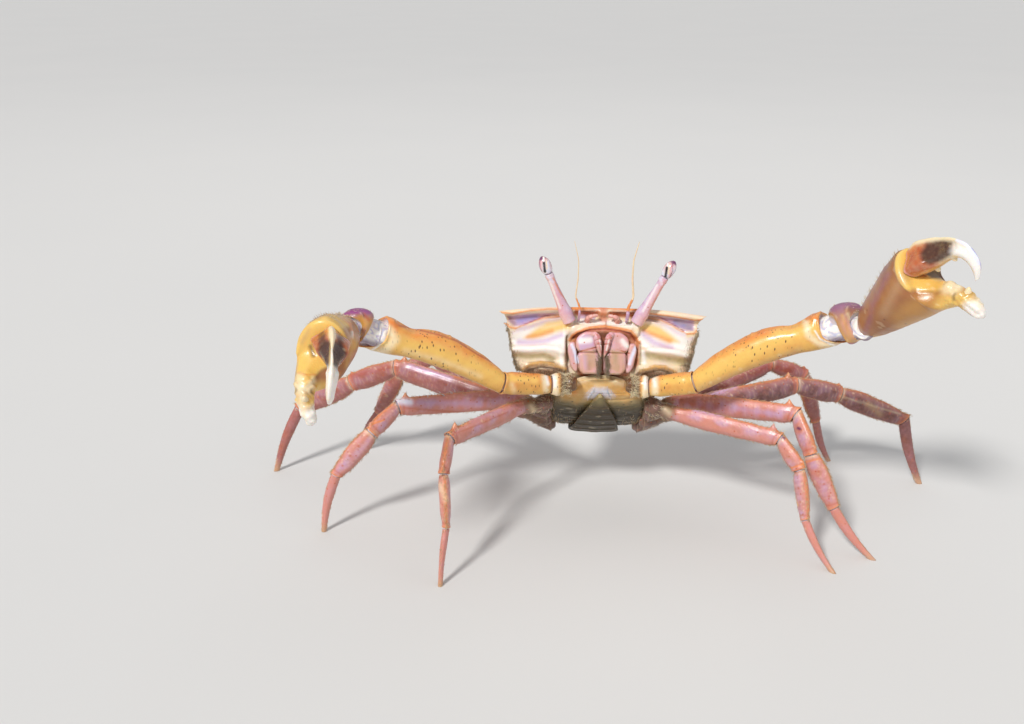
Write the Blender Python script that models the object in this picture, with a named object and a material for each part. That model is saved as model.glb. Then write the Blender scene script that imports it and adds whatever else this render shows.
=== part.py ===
# Angular crab, a large male at life size, reared up on its legs with both claws spread.
# The script works in millimetres and writes metres, +Z up. The crab faces -Y and its own left side
# is +X. Its feet stand on z = 0, and the middle of its bounding box is at x = y = 0.
import math

import bmesh
import bpy
from mathutils import Vector

MM = 0.001
HALF_GAP = 0.16               # half of the slit between neighbouring pieces

# The body. A place on it is (x, back, down): across, back from the front edge, and down from it.
FRONT_HEIGHT = 40.0           # front edge above the floor
PITCH = math.radians(48.0)    # nose up
ROLL = math.radians(1.6)      # the crab's left side is a little lower
SHELL_LENGTH = 23.0
SPINE_TIP_X = 18.7            # half of the width over the outer orbital spines
FRONT_HALF = 5.4              # half of the front, between the eyestalks
MOUTH_HALF = 6.7
SHELL_COLUMNS = (0.0, 1.8, 3.6, 5.2, 5.9, 6.8, 7.6, 9.6, 11.8, 13.8, 15.6, 17.0)
SHELL_STEPS = (0.0, 0.07, 0.16, 0.3, 0.5, 0.72, 0.9, 1.0)
# Half widths of the shell, at the side edge and at the bottom, by distance back
EDGE_WIDTHS = ((0.0, 17.4), (2.0, 17.0), (5.0, 16.3), (12.0, 13.7), (20.0, 10.4), (23.0, 8.6))
BOTTOM_WIDTHS = ((0.0, 15.4), (5.0, 14.6), (10.0, 12.4), (15.0, 10.4), (20.0, 8.8), (23.0, 7.2))

# Claw arms: (forward, rise, length) of coxa, ischium, merus and carpus, for the left and right side
ARM_ROOT = (5.3, 6.0, 12.4)
ARM_POSES = {
    "left": ((0, -6, 3.4), (27, 16, 8.8), (13, 28, 24.8), (47, 15, 6.2)),
    "right": ((0, -2, 3.8), (22, 10, 9.6), (14, 27, 24.4), (38, 19, 6.0)),
}
ARM_PARTS = ("coxa", "ischium", "merus", "carpus")
ARM_BOWS = {"coxa": 0.0, "ischium": 0.0, "merus": 1.3, "carpus": 0.7}     # how far each arches upward
# Half height and half width along each segment
ARM_SIZES = {
    "coxa": ((0.0, 1.7, 1.7), (0.35, 1.85, 1.8), (0.75, 1.8, 1.7), (1.0, 1.55, 1.5)),
    "ischium": ((0.0, 1.5, 1.4), (0.15, 1.75, 1.6), (0.5, 1.9, 1.7), (0.85, 1.95, 1.8), (1.0, 1.8, 1.7)),
    "merus": ((0.0, 1.75, 1.65), (0.1, 2.05, 1.9), (0.3, 2.45, 2.2), (0.5, 2.75, 2.4), (0.72, 2.8, 2.45),
              (0.9, 3.05, 2.6), (1.0, 2.7, 2.4)),
    "carpus": ((0.0, 2.2, 2.1), (0.22, 3.1, 2.7), (0.55, 3.4, 2.9), (0.78, 3.1, 2.6), (1.0, 2.2, 2.0)),
}
# Claw direction: forward from straight out, rise and roll, then how far the fingers stray sideways
CLAW_POSES = {"left": (68, 44, 18, 0.0), "right": (88, 4, 5, 1.0)}

# Walking legs, front to back: (forward, rise, length) of base, merus, carpus and propodus, then how
# far forward the dactyl points and its length
LEG_ROOTS = ((9.0, 11.5, 13.6), (9.2, 15.0, 13.6), (8.9, 18.5, 13.4), (8.0, 21.7, 12.8))
LEG_HEIGHTS = (1.6, 1.8, 2.15, 1.75)       # half height of the merus
# Sizes along a leg: (share of the segment, half height, half width), in mm for the base and else
# times the half height of the merus
LEG_BASE = ((0.0, 1.5, 1.45), (0.3, 1.6, 1.55), (0.48, 1.25, 1.2), (0.62, 1.45, 1.3), (0.9, 1.4, 1.15))
LEG_MERUS = ((0.06, 0.84, 0.6), (0.2, 1.0, 0.62), (0.5, 1.02, 0.6), (0.8, 0.94, 0.58), (0.92, 0.9, 0.6),
             (1.0, 0.72, 0.52))
LEG_CARPUS = ((0.0, 0.66, 0.5), (0.25, 0.8, 0.55), (0.7, 0.9, 0.6), (1.0, 0.74, 0.52))
LEG_PROPODUS = ((0.0, 0.66, 0.48), (0.18, 0.88, 0.6), (0.55, 0.88, 0.58), (0.88, 0.68, 0.48),
                (1.0, 0.54, 0.4))
LEG_DACTYL = ((0.0, 0.5), (0.3, 0.5), (0.6, 0.4), (0.85, 0.3), (1.0, 0.26))
LEG_DACTYL_BOW = 0.5
LEG_DACTYL_FLATNESS = 0.72
LEG_LEAST = (0.46, 0.42)      # least half height and half width of a dactyl
# Thorn near the end of each merus: back from the knee, share of the half height, run, rise, radius
THORN = (2.4, 0.6, 1.5, 1.3, 0.5)
LEG_POSES = {
    "left": (
        ((9, -15, 5.3), (30, -2, 19.6), (46, -46, 6.2), (68, -71, 8.8), 52, 9.8),
        ((-14, 16, 6.6), (30, 5, 22.2), (61, -54, 7.4), (30, -62, 10.4), 30, 11.0),
        ((-9, 12, 7.6), (-14, 7, 23.8), (-16, -17, 10.3), (4, -21, 14.0), 10, 14.2),
        ((-16, 17, 8.0), (-19, 18, 22.0), (-22, -24, 8.8), (-22, -68, 11.4), -30, 11.2),
    ),
    "right": (
        ((8, -5, 5.2), (51, 1, 19.6), (78, -50, 6.2), (98, -71, 9.0), 72, 9.8),
        ((-18, 16, 6.5), (14, 1, 22.2), (46, -27, 7.0), (6, -50, 10.4), 16, 11.4),
        ((-13, 13, 7.6), (-19, 12, 24.0), (-16, -24, 10.3), (-18, -30, 14.0), 20, 14.2),
        ((-18, 22, 7.4), (-35, 14, 21.6), (-20, -30, 8.7), (-25, -61, 11.0), -20, 10.8),
    ),
}

# Claw outline: points of the lower and the upper edge, each (along, up), the thickness there, and
# how far it strays inward. The palm ends at the dactyl's hinge, and the fixed finger goes on.
PALM_ROWS = (
    ((0.0, -1.9), (0.0, 1.9), 3.4, 0.0),
    ((1.8, -2.6), (2.0, 2.6), 4.8, 0.0),
    ((5.4, -3.5), (5.2, 3.4), 6.8, 0.0),
    ((9.4, -4.3), (9.0, 4.3), 7.9, -0.2),
    ((13.0, -5.0), (12.8, 5.1), 8.3, -0.5),
    ((15.0, -5.3), (16.3, 4.9), 7.6, -0.4),
    ((16.2, -5.6), (16.0, 0.7), 6.4, -1.1),
    ((17.3, -6.0), (17.5, -1.7), 4.0, -2.2),
    ((18.4, -6.5), (19.6, -3.3), 3.1, -2.3),
    ((18.9, -7.4), (21.2, -5.5), 2.7, -1.95),
    ((19.2, -8.4), (21.6, -7.4), 2.3, -1.4),
    ((19.8, -9.4), (21.4, -9.0), 1.7, -0.95),
    ((20.4, -9.9), (20.8, -9.8), 0.8, -0.9),
)
DACTYL_ROWS = (
    ((16.5, 0.55), (16.9, 4.7), 4.0, 0.8),
    ((18.3, 0.05), (19.0, 4.9), 4.4, 1.3),
    ((20.4, -0.3), (21.3, 4.1), 3.8, 1.9),
    ((22.4, -0.5), (23.2, 3.1), 2.9, 2.25),
    ((24.0, -1.0), (25.2, 1.6), 2.1, 2.7),
    ((24.5, -2.0), (26.4, -0.2), 1.7, 2.8),
    ((24.5, -3.1), (26.5, -2.0), 1.4, 2.7),
    ((24.1, -4.1), (25.9, -3.7), 1.1, 2.6),
    ((23.5, -5.0), (24.3, -5.0), 0.6, 2.35),
)
# Teeth: (along, up) of the root and the tip, the radius of the root, and how far it strays inward
FIXED_TEETH = (((18.2, -4.0), (19.5, -2.7), 0.9, -2.3), ((20.0, -6.3), (21.9, -5.1), 0.7, -1.8))
DACTYL_TEETH = (((19.6, 0.6), (19.4, -0.7), 0.6, 1.7), ((23.0, 0.1), (23.1, -1.1), 0.5, 2.35))

# Small second tooth of each side of the shell: (x, back, down) of root and tip, radius of the root
SIDE_TOOTH = ((15.2, 5.2, 1.4), (18.0, 4.0, 1.3), 0.95)

# Underside. Sternum: (back, half width, top, bottom). Abdomen: (back, down) of its inner face, half width.
STERNUM_ROWS = (
    (5.9, 4.3, 10.6, 11.4), (7.0, 4.7, 10.6, 12.0), (8.2, 4.9, 10.7, 12.5), (9.7, 8.0, 10.8, 12.9),
    (12.0, 8.5, 10.9, 13.4), (15.5, 8.6, 11.1, 13.8), (19.0, 8.3, 11.2, 13.7), (21.2, 7.6, 11.2, 13.2),
    (22.4, 6.8, 11.2, 12.6),
)
ABDOMEN_ROWS = (
    (9.6, 13.2, 0.5), (12.0, 13.75, 2.0), (15.5, 14.15, 3.4), (19.0, 14.05, 4.2), (21.4, 13.55, 4.6),
    (23.0, 12.6, 4.8), (23.7, 10.6, 4.6),
)
ABDOMEN_HALF_THICKNESS = 0.45

# Third maxillipeds on the mouth frame, each plate by (across, along, out) from and to, and its taper
MAXILLIPED_ISCHIUM = ((0.25, 4.3), (2.6, 6.2), (-0.1, 1.0), 0.0)
MAXILLIPED_MERUS = ((0.7, 4.5), (0.1, 2.75), (-0.05, 0.85), -0.06)
MAXILLIPED_STRIP = ((4.15, 5.8), (1.2, 6.0), (-0.35, 0.55), 0.1)
PALP = ((1.2, 0.9, 0.7), (0.45, 3.6, 1.45), 0.5)
PLATE_CROWN = 0.3

# Eyestalks: how far each leans out from upright, and the radii along it
STALK_X = 6.5
STALK_PLACE = (-0.3, 2.0)     # (back, down) of its root
SOCKET_RADIUS = 1.55
STALK_LENGTH = 8.6
STALK_LEAN = {"left": 28, "right": 23}
STALK_RADII = ((0.0, 1.15), (0.12, 1.2), (0.3, 0.95), (0.6, 0.66), (0.85, 0.64), (1.0, 0.75))
EYE_RADII = ((0.0, 0.75), (0.18, 0.95), (0.45, 1.05), (0.72, 0.9), (0.9, 0.55), (1.0, 0.2))
EYE_LENGTH = 3.2
# Feelers: places are (x, back, down), and the tips are measured from each one's elbow
ANTENNA_ROOT = (4.3, 1.3, 2.0)
ANTENNA_ELBOW = (4.3, -0.9, 2.0)
ANTENNA_TIPS = {"left": (1.6, 0.3, 13.4), "right": (-1.1, 0.6, 13.2)}
ANTENNA_RADII = (0.45, 0.5, 0.5, 0.45, 0.32, 0.28, 0.24, 0.14)
ANTENNA_SWAY = 0.5
ANTENNULE_LINE = ((2.6, 1.4, 2.0), (2.6, 0.2, 2.0), (2.4, -0.7, 1.9), (1.6, -1.1, 1.8), (0.8, -1.1, 2.0))
ANTENNULE_RADII = (0.5, 0.55, 0.55, 0.45, 0.25)

COLOURS = {
    "shell": ((0.72, 0.42, 0.38), 0.35),
    "sternum": ((0.62, 0.5, 0.3), 0.45),
    "abdomen": ((0.42, 0.34, 0.2), 0.5),
    "mouthpart": ((0.7, 0.36, 0.34), 0.4),
    "eyestalk": ((0.68, 0.42, 0.5), 0.35),
    "eye": ((0.3, 0.18, 0.2), 0.12),
    "antenna": ((0.7, 0.5, 0.42), 0.45),
    "arm": ((0.8, 0.52, 0.2), 0.35),
    "carpus": ((0.62, 0.3, 0.42), 0.35),
    "palm": ((0.62, 0.36, 0.16), 0.35),
    "claw_finger": ((0.85, 0.74, 0.6), 0.3),
    "leg": ((0.72, 0.36, 0.3), 0.4),
}
KIND_OF = {}                  # the material kind of each node that a Boolean changes


def clear_scene():
    for obj in list(bpy.data.objects):
        bpy.data.objects.remove(obj, do_unlink=True)


def material(kind):
    found = bpy.data.materials.get(kind)
    if found:
        return found
    made = bpy.data.materials.new(kind)
    made.use_nodes = True
    shader = made.node_tree.nodes["Principled BSDF"]
    colour, roughness = COLOURS[kind]
    shader.inputs["Base Color"].default_value = (*colour, 1.0)
    shader.inputs["Roughness"].default_value = roughness
    shader.inputs["Metallic"].default_value = 0.0
    return made


def blend(table, value):
    """Straight-line reading of a table of (place, size) pairs."""
    for (x0, y0), (x1, y1) in zip(table, table[1:]):
        if value <= x1:
            return y0 + (y1 - y0) * max(0.0, (value - x0) / (x1 - x0))
    return table[-1][1]


def on_body(x, back, down):
    """World place, in millimetres, of a place on the body."""
    y = back * math.cos(PITCH) - down * math.sin(PITCH)
    z = -back * math.sin(PITCH) - down * math.cos(PITCH)
    return Vector((x * math.cos(ROLL) + z * math.sin(ROLL), y,
                   FRONT_HEIGHT + z * math.cos(ROLL) - x * math.sin(ROLL)))


def heading(sign, forward, rise):
    """Direction of a limb: forward from straight out to its side, and up."""
    f, r = math.radians(forward), math.radians(rise)
    return Vector((sign * math.cos(f) * math.cos(r), -math.sin(f) * math.cos(r), math.sin(r)))


def add_object(name, kind, bm, group):
    bmesh.ops.triangulate(bm, faces=bm.faces)
    bmesh.ops.recalc_face_normals(bm, faces=bm.faces)
    mesh = bpy.data.meshes.new(name)
    bm.to_mesh(mesh)
    bm.free()
    mesh.shade_smooth()
    mesh.set_sharp_from_angle(angle=math.radians(40))
    obj = bpy.data.objects.new(name, mesh)
    obj.data.materials.append(material(kind))
    group.objects.link(obj)
    return obj


def ring(centre, up, side, half_height, half_width, sides, squareness=2.0):
    """Points of a rounded outline. Squareness 2 is an ellipse, and more is boxier."""
    power = 2.0 / squareness
    points = []
    for k in range(sides):
        turn = 2 * math.pi * k / sides
        c, s = math.cos(turn), math.sin(turn)
        across = math.copysign(abs(c) ** power, c) * half_width
        upward = math.copysign(abs(s) ** power, s) * half_height
        points.append(centre + side * across + up * upward)
    return points


def slide_to_plane(points, axis, place, normal):
    """Moves points along an axis until they lie in a plane."""
    return [p + axis * ((place - p).dot(normal) / axis.dot(normal)) for p in points]


def loft(name, kind, rings, group):
    """Closed skin over a row of rings with as many points each, with a fan over both ends."""
    bm = bmesh.new()
    rows = [[bm.verts.new(p) for p in points] for points in rings]
    count = len(rows[0])
    for near, far in zip(rows, rows[1:]):
        for k in range(count):
            n = (k + 1) % count
            bm.faces.new((near[k], near[n], far[n], far[k]))
    for row in (rows[0], rows[-1]):
        middle = bm.verts.new(sum((v.co for v in row), Vector()) / count)
        for k in range(count):
            bm.faces.new((row[k], row[(k + 1) % count], middle))
    return add_object(name, kind, bm, group)


def spike(name, root, tip, radius, group, sides=6):
    """Blunt cone from a root sunk in its piece to a tip."""
    bm = bmesh.new()
    axis = tip - root
    bmesh.ops.create_cone(bm, cap_ends=True, segments=sides, radius1=radius, radius2=radius * 0.18,
                          depth=axis.length)
    turn = axis.to_track_quat("Z", "Y").to_matrix()
    middle = (root + tip) / 2
    for vert in bm.verts:
        vert.co = turn @ vert.co + middle
    return add_object(name, "shell", bm, group)


def keep_largest(mesh):
    """Drops every closed surface of a mesh but the one with the most volume."""
    bm = bmesh.new()
    bm.from_mesh(mesh)
    left = set(bm.verts)
    shells = []
    while left:
        found = {left.pop()}
        edge_of = list(found)
        while edge_of:
            for edge in edge_of.pop().link_edges:
                for vert in edge.verts:
                    if vert in left:
                        left.discard(vert)
                        found.add(vert)
                        edge_of.append(vert)
        spread = [max(v.co[i] for v in found) - min(v.co[i] for v in found) for i in range(3)]
        shells.append((spread[0] * spread[1] * spread[2], found))
    shells.sort(key=lambda shell: shell[0])
    for _, verts in shells[:-1]:
        bmesh.ops.delete(bm, geom=list(verts), context="VERTS")
    bm.to_mesh(mesh)
    bm.free()


def combine(obj, pieces, operation):
    """Joins pieces to an object, or cuts them out of it, with one Boolean."""
    bag = bpy.data.collections.new(obj.name + "_pieces")
    for piece in pieces:
        for owner in list(piece.users_collection):
            owner.objects.unlink(piece)
        bag.objects.link(piece)
    step = obj.modifiers.new("combine", "BOOLEAN")
    step.operation = operation
    step.operand_type = "COLLECTION"
    step.collection = bag
    step.solver = "EXACT"
    view = bpy.context.evaluated_depsgraph_get()
    made = bpy.data.meshes.new_from_object(obj.evaluated_get(view))
    obj.modifiers.remove(step)
    obj.data = made
    obj.data.materials.clear()
    obj.data.materials.append(material(KIND_OF[obj.name]))
    keep_largest(obj.data)
    for piece in pieces:
        bpy.data.objects.remove(piece, do_unlink=True)
    bpy.data.collections.remove(bag)


def named_loft(name, kind, rings, group):
    KIND_OF[name] = kind
    return loft(name, kind, rings, group)


def shell_row(x, row):
    """(back, down) of one row of the face, from the front edge to the bottom, at a place across."""
    x = abs(x)
    lower = 1.5 + 2.1 * max(0.0, (x - 6.0) / 10.0) ** 1.3
    droop = 1.4 * max(0.0, (x - 6.0) / 12.7) ** 2
    side = ((0.0, droop), (0.15, 0.7 + droop), (2.0, 0.85 + droop), (2.1, max(lower, 1.3 + droop)),
            (0.9, lower + 0.1), (1.7, lower + 1.0), (2.9, 5.7), (2.7, 7.2), (4.3, 8.5), (4.2, 9.4),
            (5.0, 10.1))
    middle = ((0.0, 0.0), (0.1, 0.9), (1.7, 1.1), (1.9, 2.8), (0.9, 3.1), (1.3, 4.1), (3.3, 4.6),
              (4.2, 6.2), (5.1, 7.6), (5.8, 8.9), (6.4, 10.0))
    border = FRONT_HALF if row < 5 else MOUTH_HALF
    return middle[row] if x < border else side[row]


def shell_point(column, step, row, rows):
    """Place on the shell's block: column across, step back, row down."""
    sign = -1 if column < 0 else 1
    x = SHELL_COLUMNS[abs(column)]
    outermost = abs(column) == len(SHELL_COLUMNS) - 1
    face_back, face_down = shell_row(x, row)
    share = row / rows
    t = SHELL_STEPS[step]
    rear_back = SHELL_LENGTH - 1.2 * share
    back = face_back + (rear_back - face_back) * t
    wide = blend(EDGE_WIDTHS, back) + (blend(BOTTOM_WIDTHS, back) - blend(EDGE_WIDTHS, back)) * share
    crown = 1.5 * math.sin(math.pi * min(1.0, back / SHELL_LENGTH * 0.9 + 0.06)) * t ** 0.3
    top = 0.9 * t - crown * (1 - (x / 17.0) ** 2)
    bottom = 10.1 + 0.7 * t
    if row == 0:
        down = face_down * (1 - t) + top * t if step else face_down
        down = min(down, top) if t > 0.2 else down
    else:
        rear_down = top + (bottom - top) * share
        ease = min(1.0, t * 3)
        down = face_down * (1 - ease) + rear_down * ease
    across = x + (wide - 17.0) * (x / 17.0) ** (2.0 - min(1.0, 4 * t))
    if outermost and step == 0:
        across = (SPINE_TIP_X, 17.7, 17.2, 17.1, 17.1, 16.9, 16.6, 16.4, 15.9, 15.6, 15.2)[row]
        back = face_back if row else 0.3
    return sign * across, back, down


def make_shell(group, cutters):
    """Carapace with the face: orbits, front, epistome, mouth recess and the cheeks' ridges."""
    columns = len(SHELL_COLUMNS) - 1
    steps = len(SHELL_STEPS) - 1
    rows = 10
    bm = bmesh.new()
    bmesh.ops.create_cube(bm, size=2.0)
    for axis, cuts in ((0, 2 * columns - 1), (1, steps - 1), (2, rows - 1)):
        edges = [e for e in bm.edges if abs((e.verts[0].co - e.verts[1].co)[axis]) > 1.0]
        bmesh.ops.subdivide_edges(bm, edges=edges, cuts=cuts, use_grid_fill=True)
    for vert in bm.verts:
        column = round(vert.co.x * columns)
        step = round((vert.co.y + 1) / 2 * steps)
        row = round((1 - vert.co.z) / 2 * rows)
        vert.co = on_body(*shell_point(column, step, row, rows))
    KIND_OF["carapace"] = "shell"
    shell = add_object("carapace", "shell", bm, group)
    teeth = []
    for sign in (-1, 1):
        (x0, back0, down0), (x1, back1, down1), radius = SIDE_TOOTH
        teeth.append(spike("side_tooth", on_body(sign * x0, back0, down0),
                           on_body(sign * x1, back1, down1), radius, cutters))
    combine(shell, teeth, "UNION")
    sockets = []
    for sign in (-1, 1):
        bm = bmesh.new()
        bmesh.ops.create_uvsphere(bm, u_segments=12, v_segments=8, radius=SOCKET_RADIUS)
        for vert in bm.verts:
            vert.co = vert.co + on_body(sign * STALK_X, *STALK_PLACE)
        sockets.append(add_object("socket", "shell", bm, cutters))
    combine(shell, sockets, "DIFFERENCE")
    return shell


def make_underside(group):
    """Sternum plate and the narrow abdomen folded under it."""
    rings = []
    for back, half, top, bottom in STERNUM_ROWS:
        rings.append(ring(on_body(0, back, (top + bottom) / 2), on_body(0, 0, -1) - on_body(0, 0, 0),
                          on_body(1, 0, 0) - on_body(0, 0, 0), (bottom - top) / 2, half, 20, 5.0))
    named_loft("sternum", "sternum", rings, group)
    rings = []
    for k, (back, down, half) in enumerate(ABDOMEN_ROWS):
        b0, d0, _ = ABDOMEN_ROWS[max(0, k - 1)]
        b1, d1, _ = ABDOMEN_ROWS[min(len(ABDOMEN_ROWS) - 1, k + 1)]
        along = Vector((b1 - b0, d1 - d0)).normalized()
        out_back, out_down = -along.y, along.x
        thick = ABDOMEN_HALF_THICKNESS
        centre = on_body(0, back + out_back * thick, down + out_down * thick)
        up = on_body(0, out_back, out_down) - on_body(0, 0, 0)
        rings.append(ring(centre, up, on_body(1, 0, 0) - on_body(0, 0, 0), thick, half, 14, 3.0))
    named_loft("abdomen", "abdomen", rings, group)


def on_mouth(x, along, out):
    """Place on the mouth frame: across, down along it, and out of it."""
    return on_body(x, 2.1 + 0.52 * along - 0.854 * out, 4.9 + 0.854 * along + 0.52 * out)


def mouth_plate(name, sign, plate, cutters):
    bm = bmesh.new()
    bmesh.ops.create_cube(bm, size=1.0)
    for edge_cut in (0, 2):
        edges = [e for e in bm.edges if abs((e.verts[0].co - e.verts[1].co)[edge_cut]) > 0.5]
        bmesh.ops.subdivide_edges(bm, edges=edges, cuts=2, use_grid_fill=True)
    (x0, x1), (s0, s1), (n0, n1), taper = plate
    for vert in bm.verts:
        u, v, w = (vert.co + Vector((0.5, 0.5, 0.5)))[:]
        crown = PLATE_CROWN * (1 - (2 * u - 1) ** 2) * (1 - (2 * w - 1) ** 2)
        x = x0 + (x1 - x0) * u
        x += (x0 - x) * taper * w
        out = n0 + (n1 - n0) * v + (crown if v > 0.5 else 0.0)
        vert.co = on_mouth(sign * x, s0 + (s1 - s0) * w, out)
    return add_object(name, "mouthpart", bm, cutters)


def make_mouthparts(group, cutters):
    """Third maxillipeds: ischium and merus plates, the outer strip and the small palp."""
    for side, sign in (("left", 1), ("right", -1)):
        name = "maxilliped_" + side
        KIND_OF[name] = "mouthpart"
        plate = mouth_plate(name, sign, MAXILLIPED_ISCHIUM, group)
        merus = mouth_plate("merus_plate", sign, MAXILLIPED_MERUS, cutters)
        strip = mouth_plate("strip", sign, MAXILLIPED_STRIP, cutters)
        (x0, along0, out0), (x1, along1, out1), radius = PALP
        palp = spike("palp", on_mouth(sign * x0, along0, out0), on_mouth(sign * x1, along1, out1), radius,
                     cutters)
        combine(plate, [merus, strip, palp], "UNION")


def tube_rings(points, radii, sides):
    """Rings square to a line of points, for a round tapering piece."""
    rings = []
    reference = Vector((0, 1, 0))
    for k, (place, radius) in enumerate(zip(points, radii)):
        axis = (points[min(k + 1, len(points) - 1)] - points[max(k - 1, 0)]).normalized()
        side = reference.cross(axis).normalized()
        rings.append(ring(place, axis.cross(side), side, radius, radius, sides))
    return rings


def make_eyes_and_feelers(group):
    """Eyestalks with their eyes, folded antennules, and antennae out to the tips."""
    for side, sign in (("left", 1), ("right", -1)):
        lean = math.radians(STALK_LEAN[side])
        axis = Vector((sign * math.sin(lean), -0.05, math.cos(lean))).normalized()
        root = on_body(sign * STALK_X, *STALK_PLACE)
        points = [root + axis * (STALK_LENGTH * t - 0.4) for t, _ in STALK_RADII]
        rings = tube_rings(points, [r for _, r in STALK_RADII], 10)
        named_loft("eyestalk_" + side, "eyestalk", rings, group)
        eye_root = points[-1] + axis * 2 * HALF_GAP
        points = [eye_root + axis * EYE_LENGTH * t for t, _ in EYE_RADII]
        named_loft("eye_" + side, "eye", tube_rings(points, [r for _, r in EYE_RADII], 10), group)

        (x0, back0, down0), (x1, back1, down1) = ANTENNA_ROOT, ANTENNA_ELBOW
        root = on_body(sign * x0, back0, down0)
        elbow = on_body(sign * x1, back1, down1)
        tip = elbow + Vector(ANTENNA_TIPS[side])
        bend = Vector((-ANTENNA_SWAY * sign, 0, 0))
        line = [root, root.lerp(elbow, 0.55), elbow + Vector((0, 0, 0.2)), elbow + Vector((0, 0, 1.4)),
                elbow.lerp(tip, 0.25) - bend, elbow.lerp(tip, 0.5) + bend * 0.4, elbow.lerp(tip, 0.75) + bend,
                tip]
        named_loft("antenna_" + side, "antenna", tube_rings(line, ANTENNA_RADII, 8), group)

        line = [on_body(sign * x, back, down) for x, back, down in ANTENNULE_LINE]
        named_loft("antennule_" + side, "antenna", tube_rings(line, ANTENNULE_RADII, 8), group)


def limb_rings(joints, stations, sides, start_normal, end_normal, squareness=2.4, bow=0.0):
    """Rings along a bent line. A station is (leg of the line, share of it, half height, half width).
    The first and last ring lie in the planes with the given normals, half a gap from the joints."""
    rings = []
    for k, (part, share, high, wide) in enumerate(stations):
        start, end = joints[part], joints[part + 1]
        axis = (end - start).normalized()
        side = axis.cross(Vector((0, 0, 1))).normalized()
        up = side.cross(axis)
        centre = start.lerp(end, share) + up * bow * math.sin(math.pi * share)
        points = ring(centre, up, side, high, wide, sides, squareness)
        if k == 0:
            points = slide_to_plane(points, axis, start + axis * HALF_GAP, start_normal)
        if k == len(stations) - 1:
            points = slide_to_plane(points, axis, end - axis * HALF_GAP, end_normal)
        rings.append(points)
    return rings


def mitre(before, joint, after):
    """Normal of the plane that halves the bend at a joint."""
    return ((joint - before).normalized() + (after - joint).normalized()).normalized()


def joints_of(sign, root, pose):
    joints = [on_body(sign * root[0], root[1], root[2])]
    for forward, rise, length in pose:
        joints.append(joints[-1] + heading(sign, forward, rise) * length)
    return joints


def make_leg(side, sign, number, group, cutters):
    """Walking leg: merus with its short base, carpus, propodus and dactyl."""
    pose = LEG_POSES[side][number]
    high = LEG_HEIGHTS[number]
    joints = joints_of(sign, LEG_ROOTS[number], pose[:4])
    forward, reach = pose[4], pose[5]
    ankle = joints[-1]
    level = math.sqrt(max(0.0, reach ** 2 - ankle.z ** 2))
    joints.append(ankle + heading(sign, forward, 0) * level - Vector((0, 0, ankle.z)))
    root, hip, knee, wrist, ankle, tip = joints
    name = "leg%d_%s_" % (number + 1, side)
    across = Vector((sign, 0, 0))
    knee_plane = mitre(hip, knee, wrist)
    wrist_plane = mitre(knee, wrist, ankle)
    ankle_plane = mitre(wrist, ankle, tip)

    stations = [(0, *row) for row in LEG_BASE]
    stations += [(1, share, high * tall, high * wide) for share, tall, wide in LEG_MERUS]
    merus = named_loft(name + "merus", "leg",
                       limb_rings(joints[0:3], stations, 10, across, knee_plane), group)
    axis = (knee - hip).normalized()
    top = Vector((0, 0, 1)) - axis * axis.z
    before, share, run, rise, radius = THORN
    thorn_root = knee - axis * before + top * high * share
    combine(merus, [spike("thorn", thorn_root, thorn_root + axis * run + top * rise, radius, cutters)],
            "UNION")

    for part, rows, first, normals in (("carpus", LEG_CARPUS, 2, (knee_plane, wrist_plane)),
                                       ("propodus", LEG_PROPODUS, 3, (wrist_plane, ankle_plane))):
        stations = [(0, share, high * tall, high * wide) for share, tall, wide in rows]
        named_loft(name + part, "leg", limb_rings(joints[first:first + 2], stations, 10, *normals), group)

    # The dactyl sags a little to its inner side and ends in a small flat on the floor
    bow = (tip - ankle).cross(heading(sign, forward + 90, 0)).normalized() * LEG_DACTYL_BOW
    line = [ankle.lerp(tip, t) + bow * math.sin(math.pi * t) for t, _ in LEG_DACTYL]
    rings = []
    last = len(LEG_DACTYL) - 1
    for k, (_, share) in enumerate(LEG_DACTYL):
        axis = (line[min(k + 1, last)] - line[max(k - 1, 0)]).normalized()
        cross = axis.cross(heading(sign, forward, 0)).normalized()
        tall = max(high * share, LEG_LEAST[0])
        wide = max(high * share * LEG_DACTYL_FLATNESS, LEG_LEAST[1])
        points = ring(line[k], cross.cross(axis), cross, tall, wide, 8)
        if k == 0:
            points = slide_to_plane(points, axis, ankle + axis * HALF_GAP, ankle_plane)
        if k == last:
            points = slide_to_plane(points, axis, tip, Vector((0, 0, 1)))
        rings.append(points)
    named_loft(name + "dactyl", "leg", rings, group)


def claw_frame(side, sign):
    """Directions along, up and across the claw."""
    forward, rise, roll, _ = CLAW_POSES[side]
    along = heading(sign, forward, rise)
    across = along.cross(Vector((0, 0, 1))).normalized() * sign
    up = across.cross(along) * sign
    turn = math.radians(roll)
    return along, up * math.cos(turn) + across * math.sin(turn), across * math.cos(turn) - up * math.sin(turn)


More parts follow.
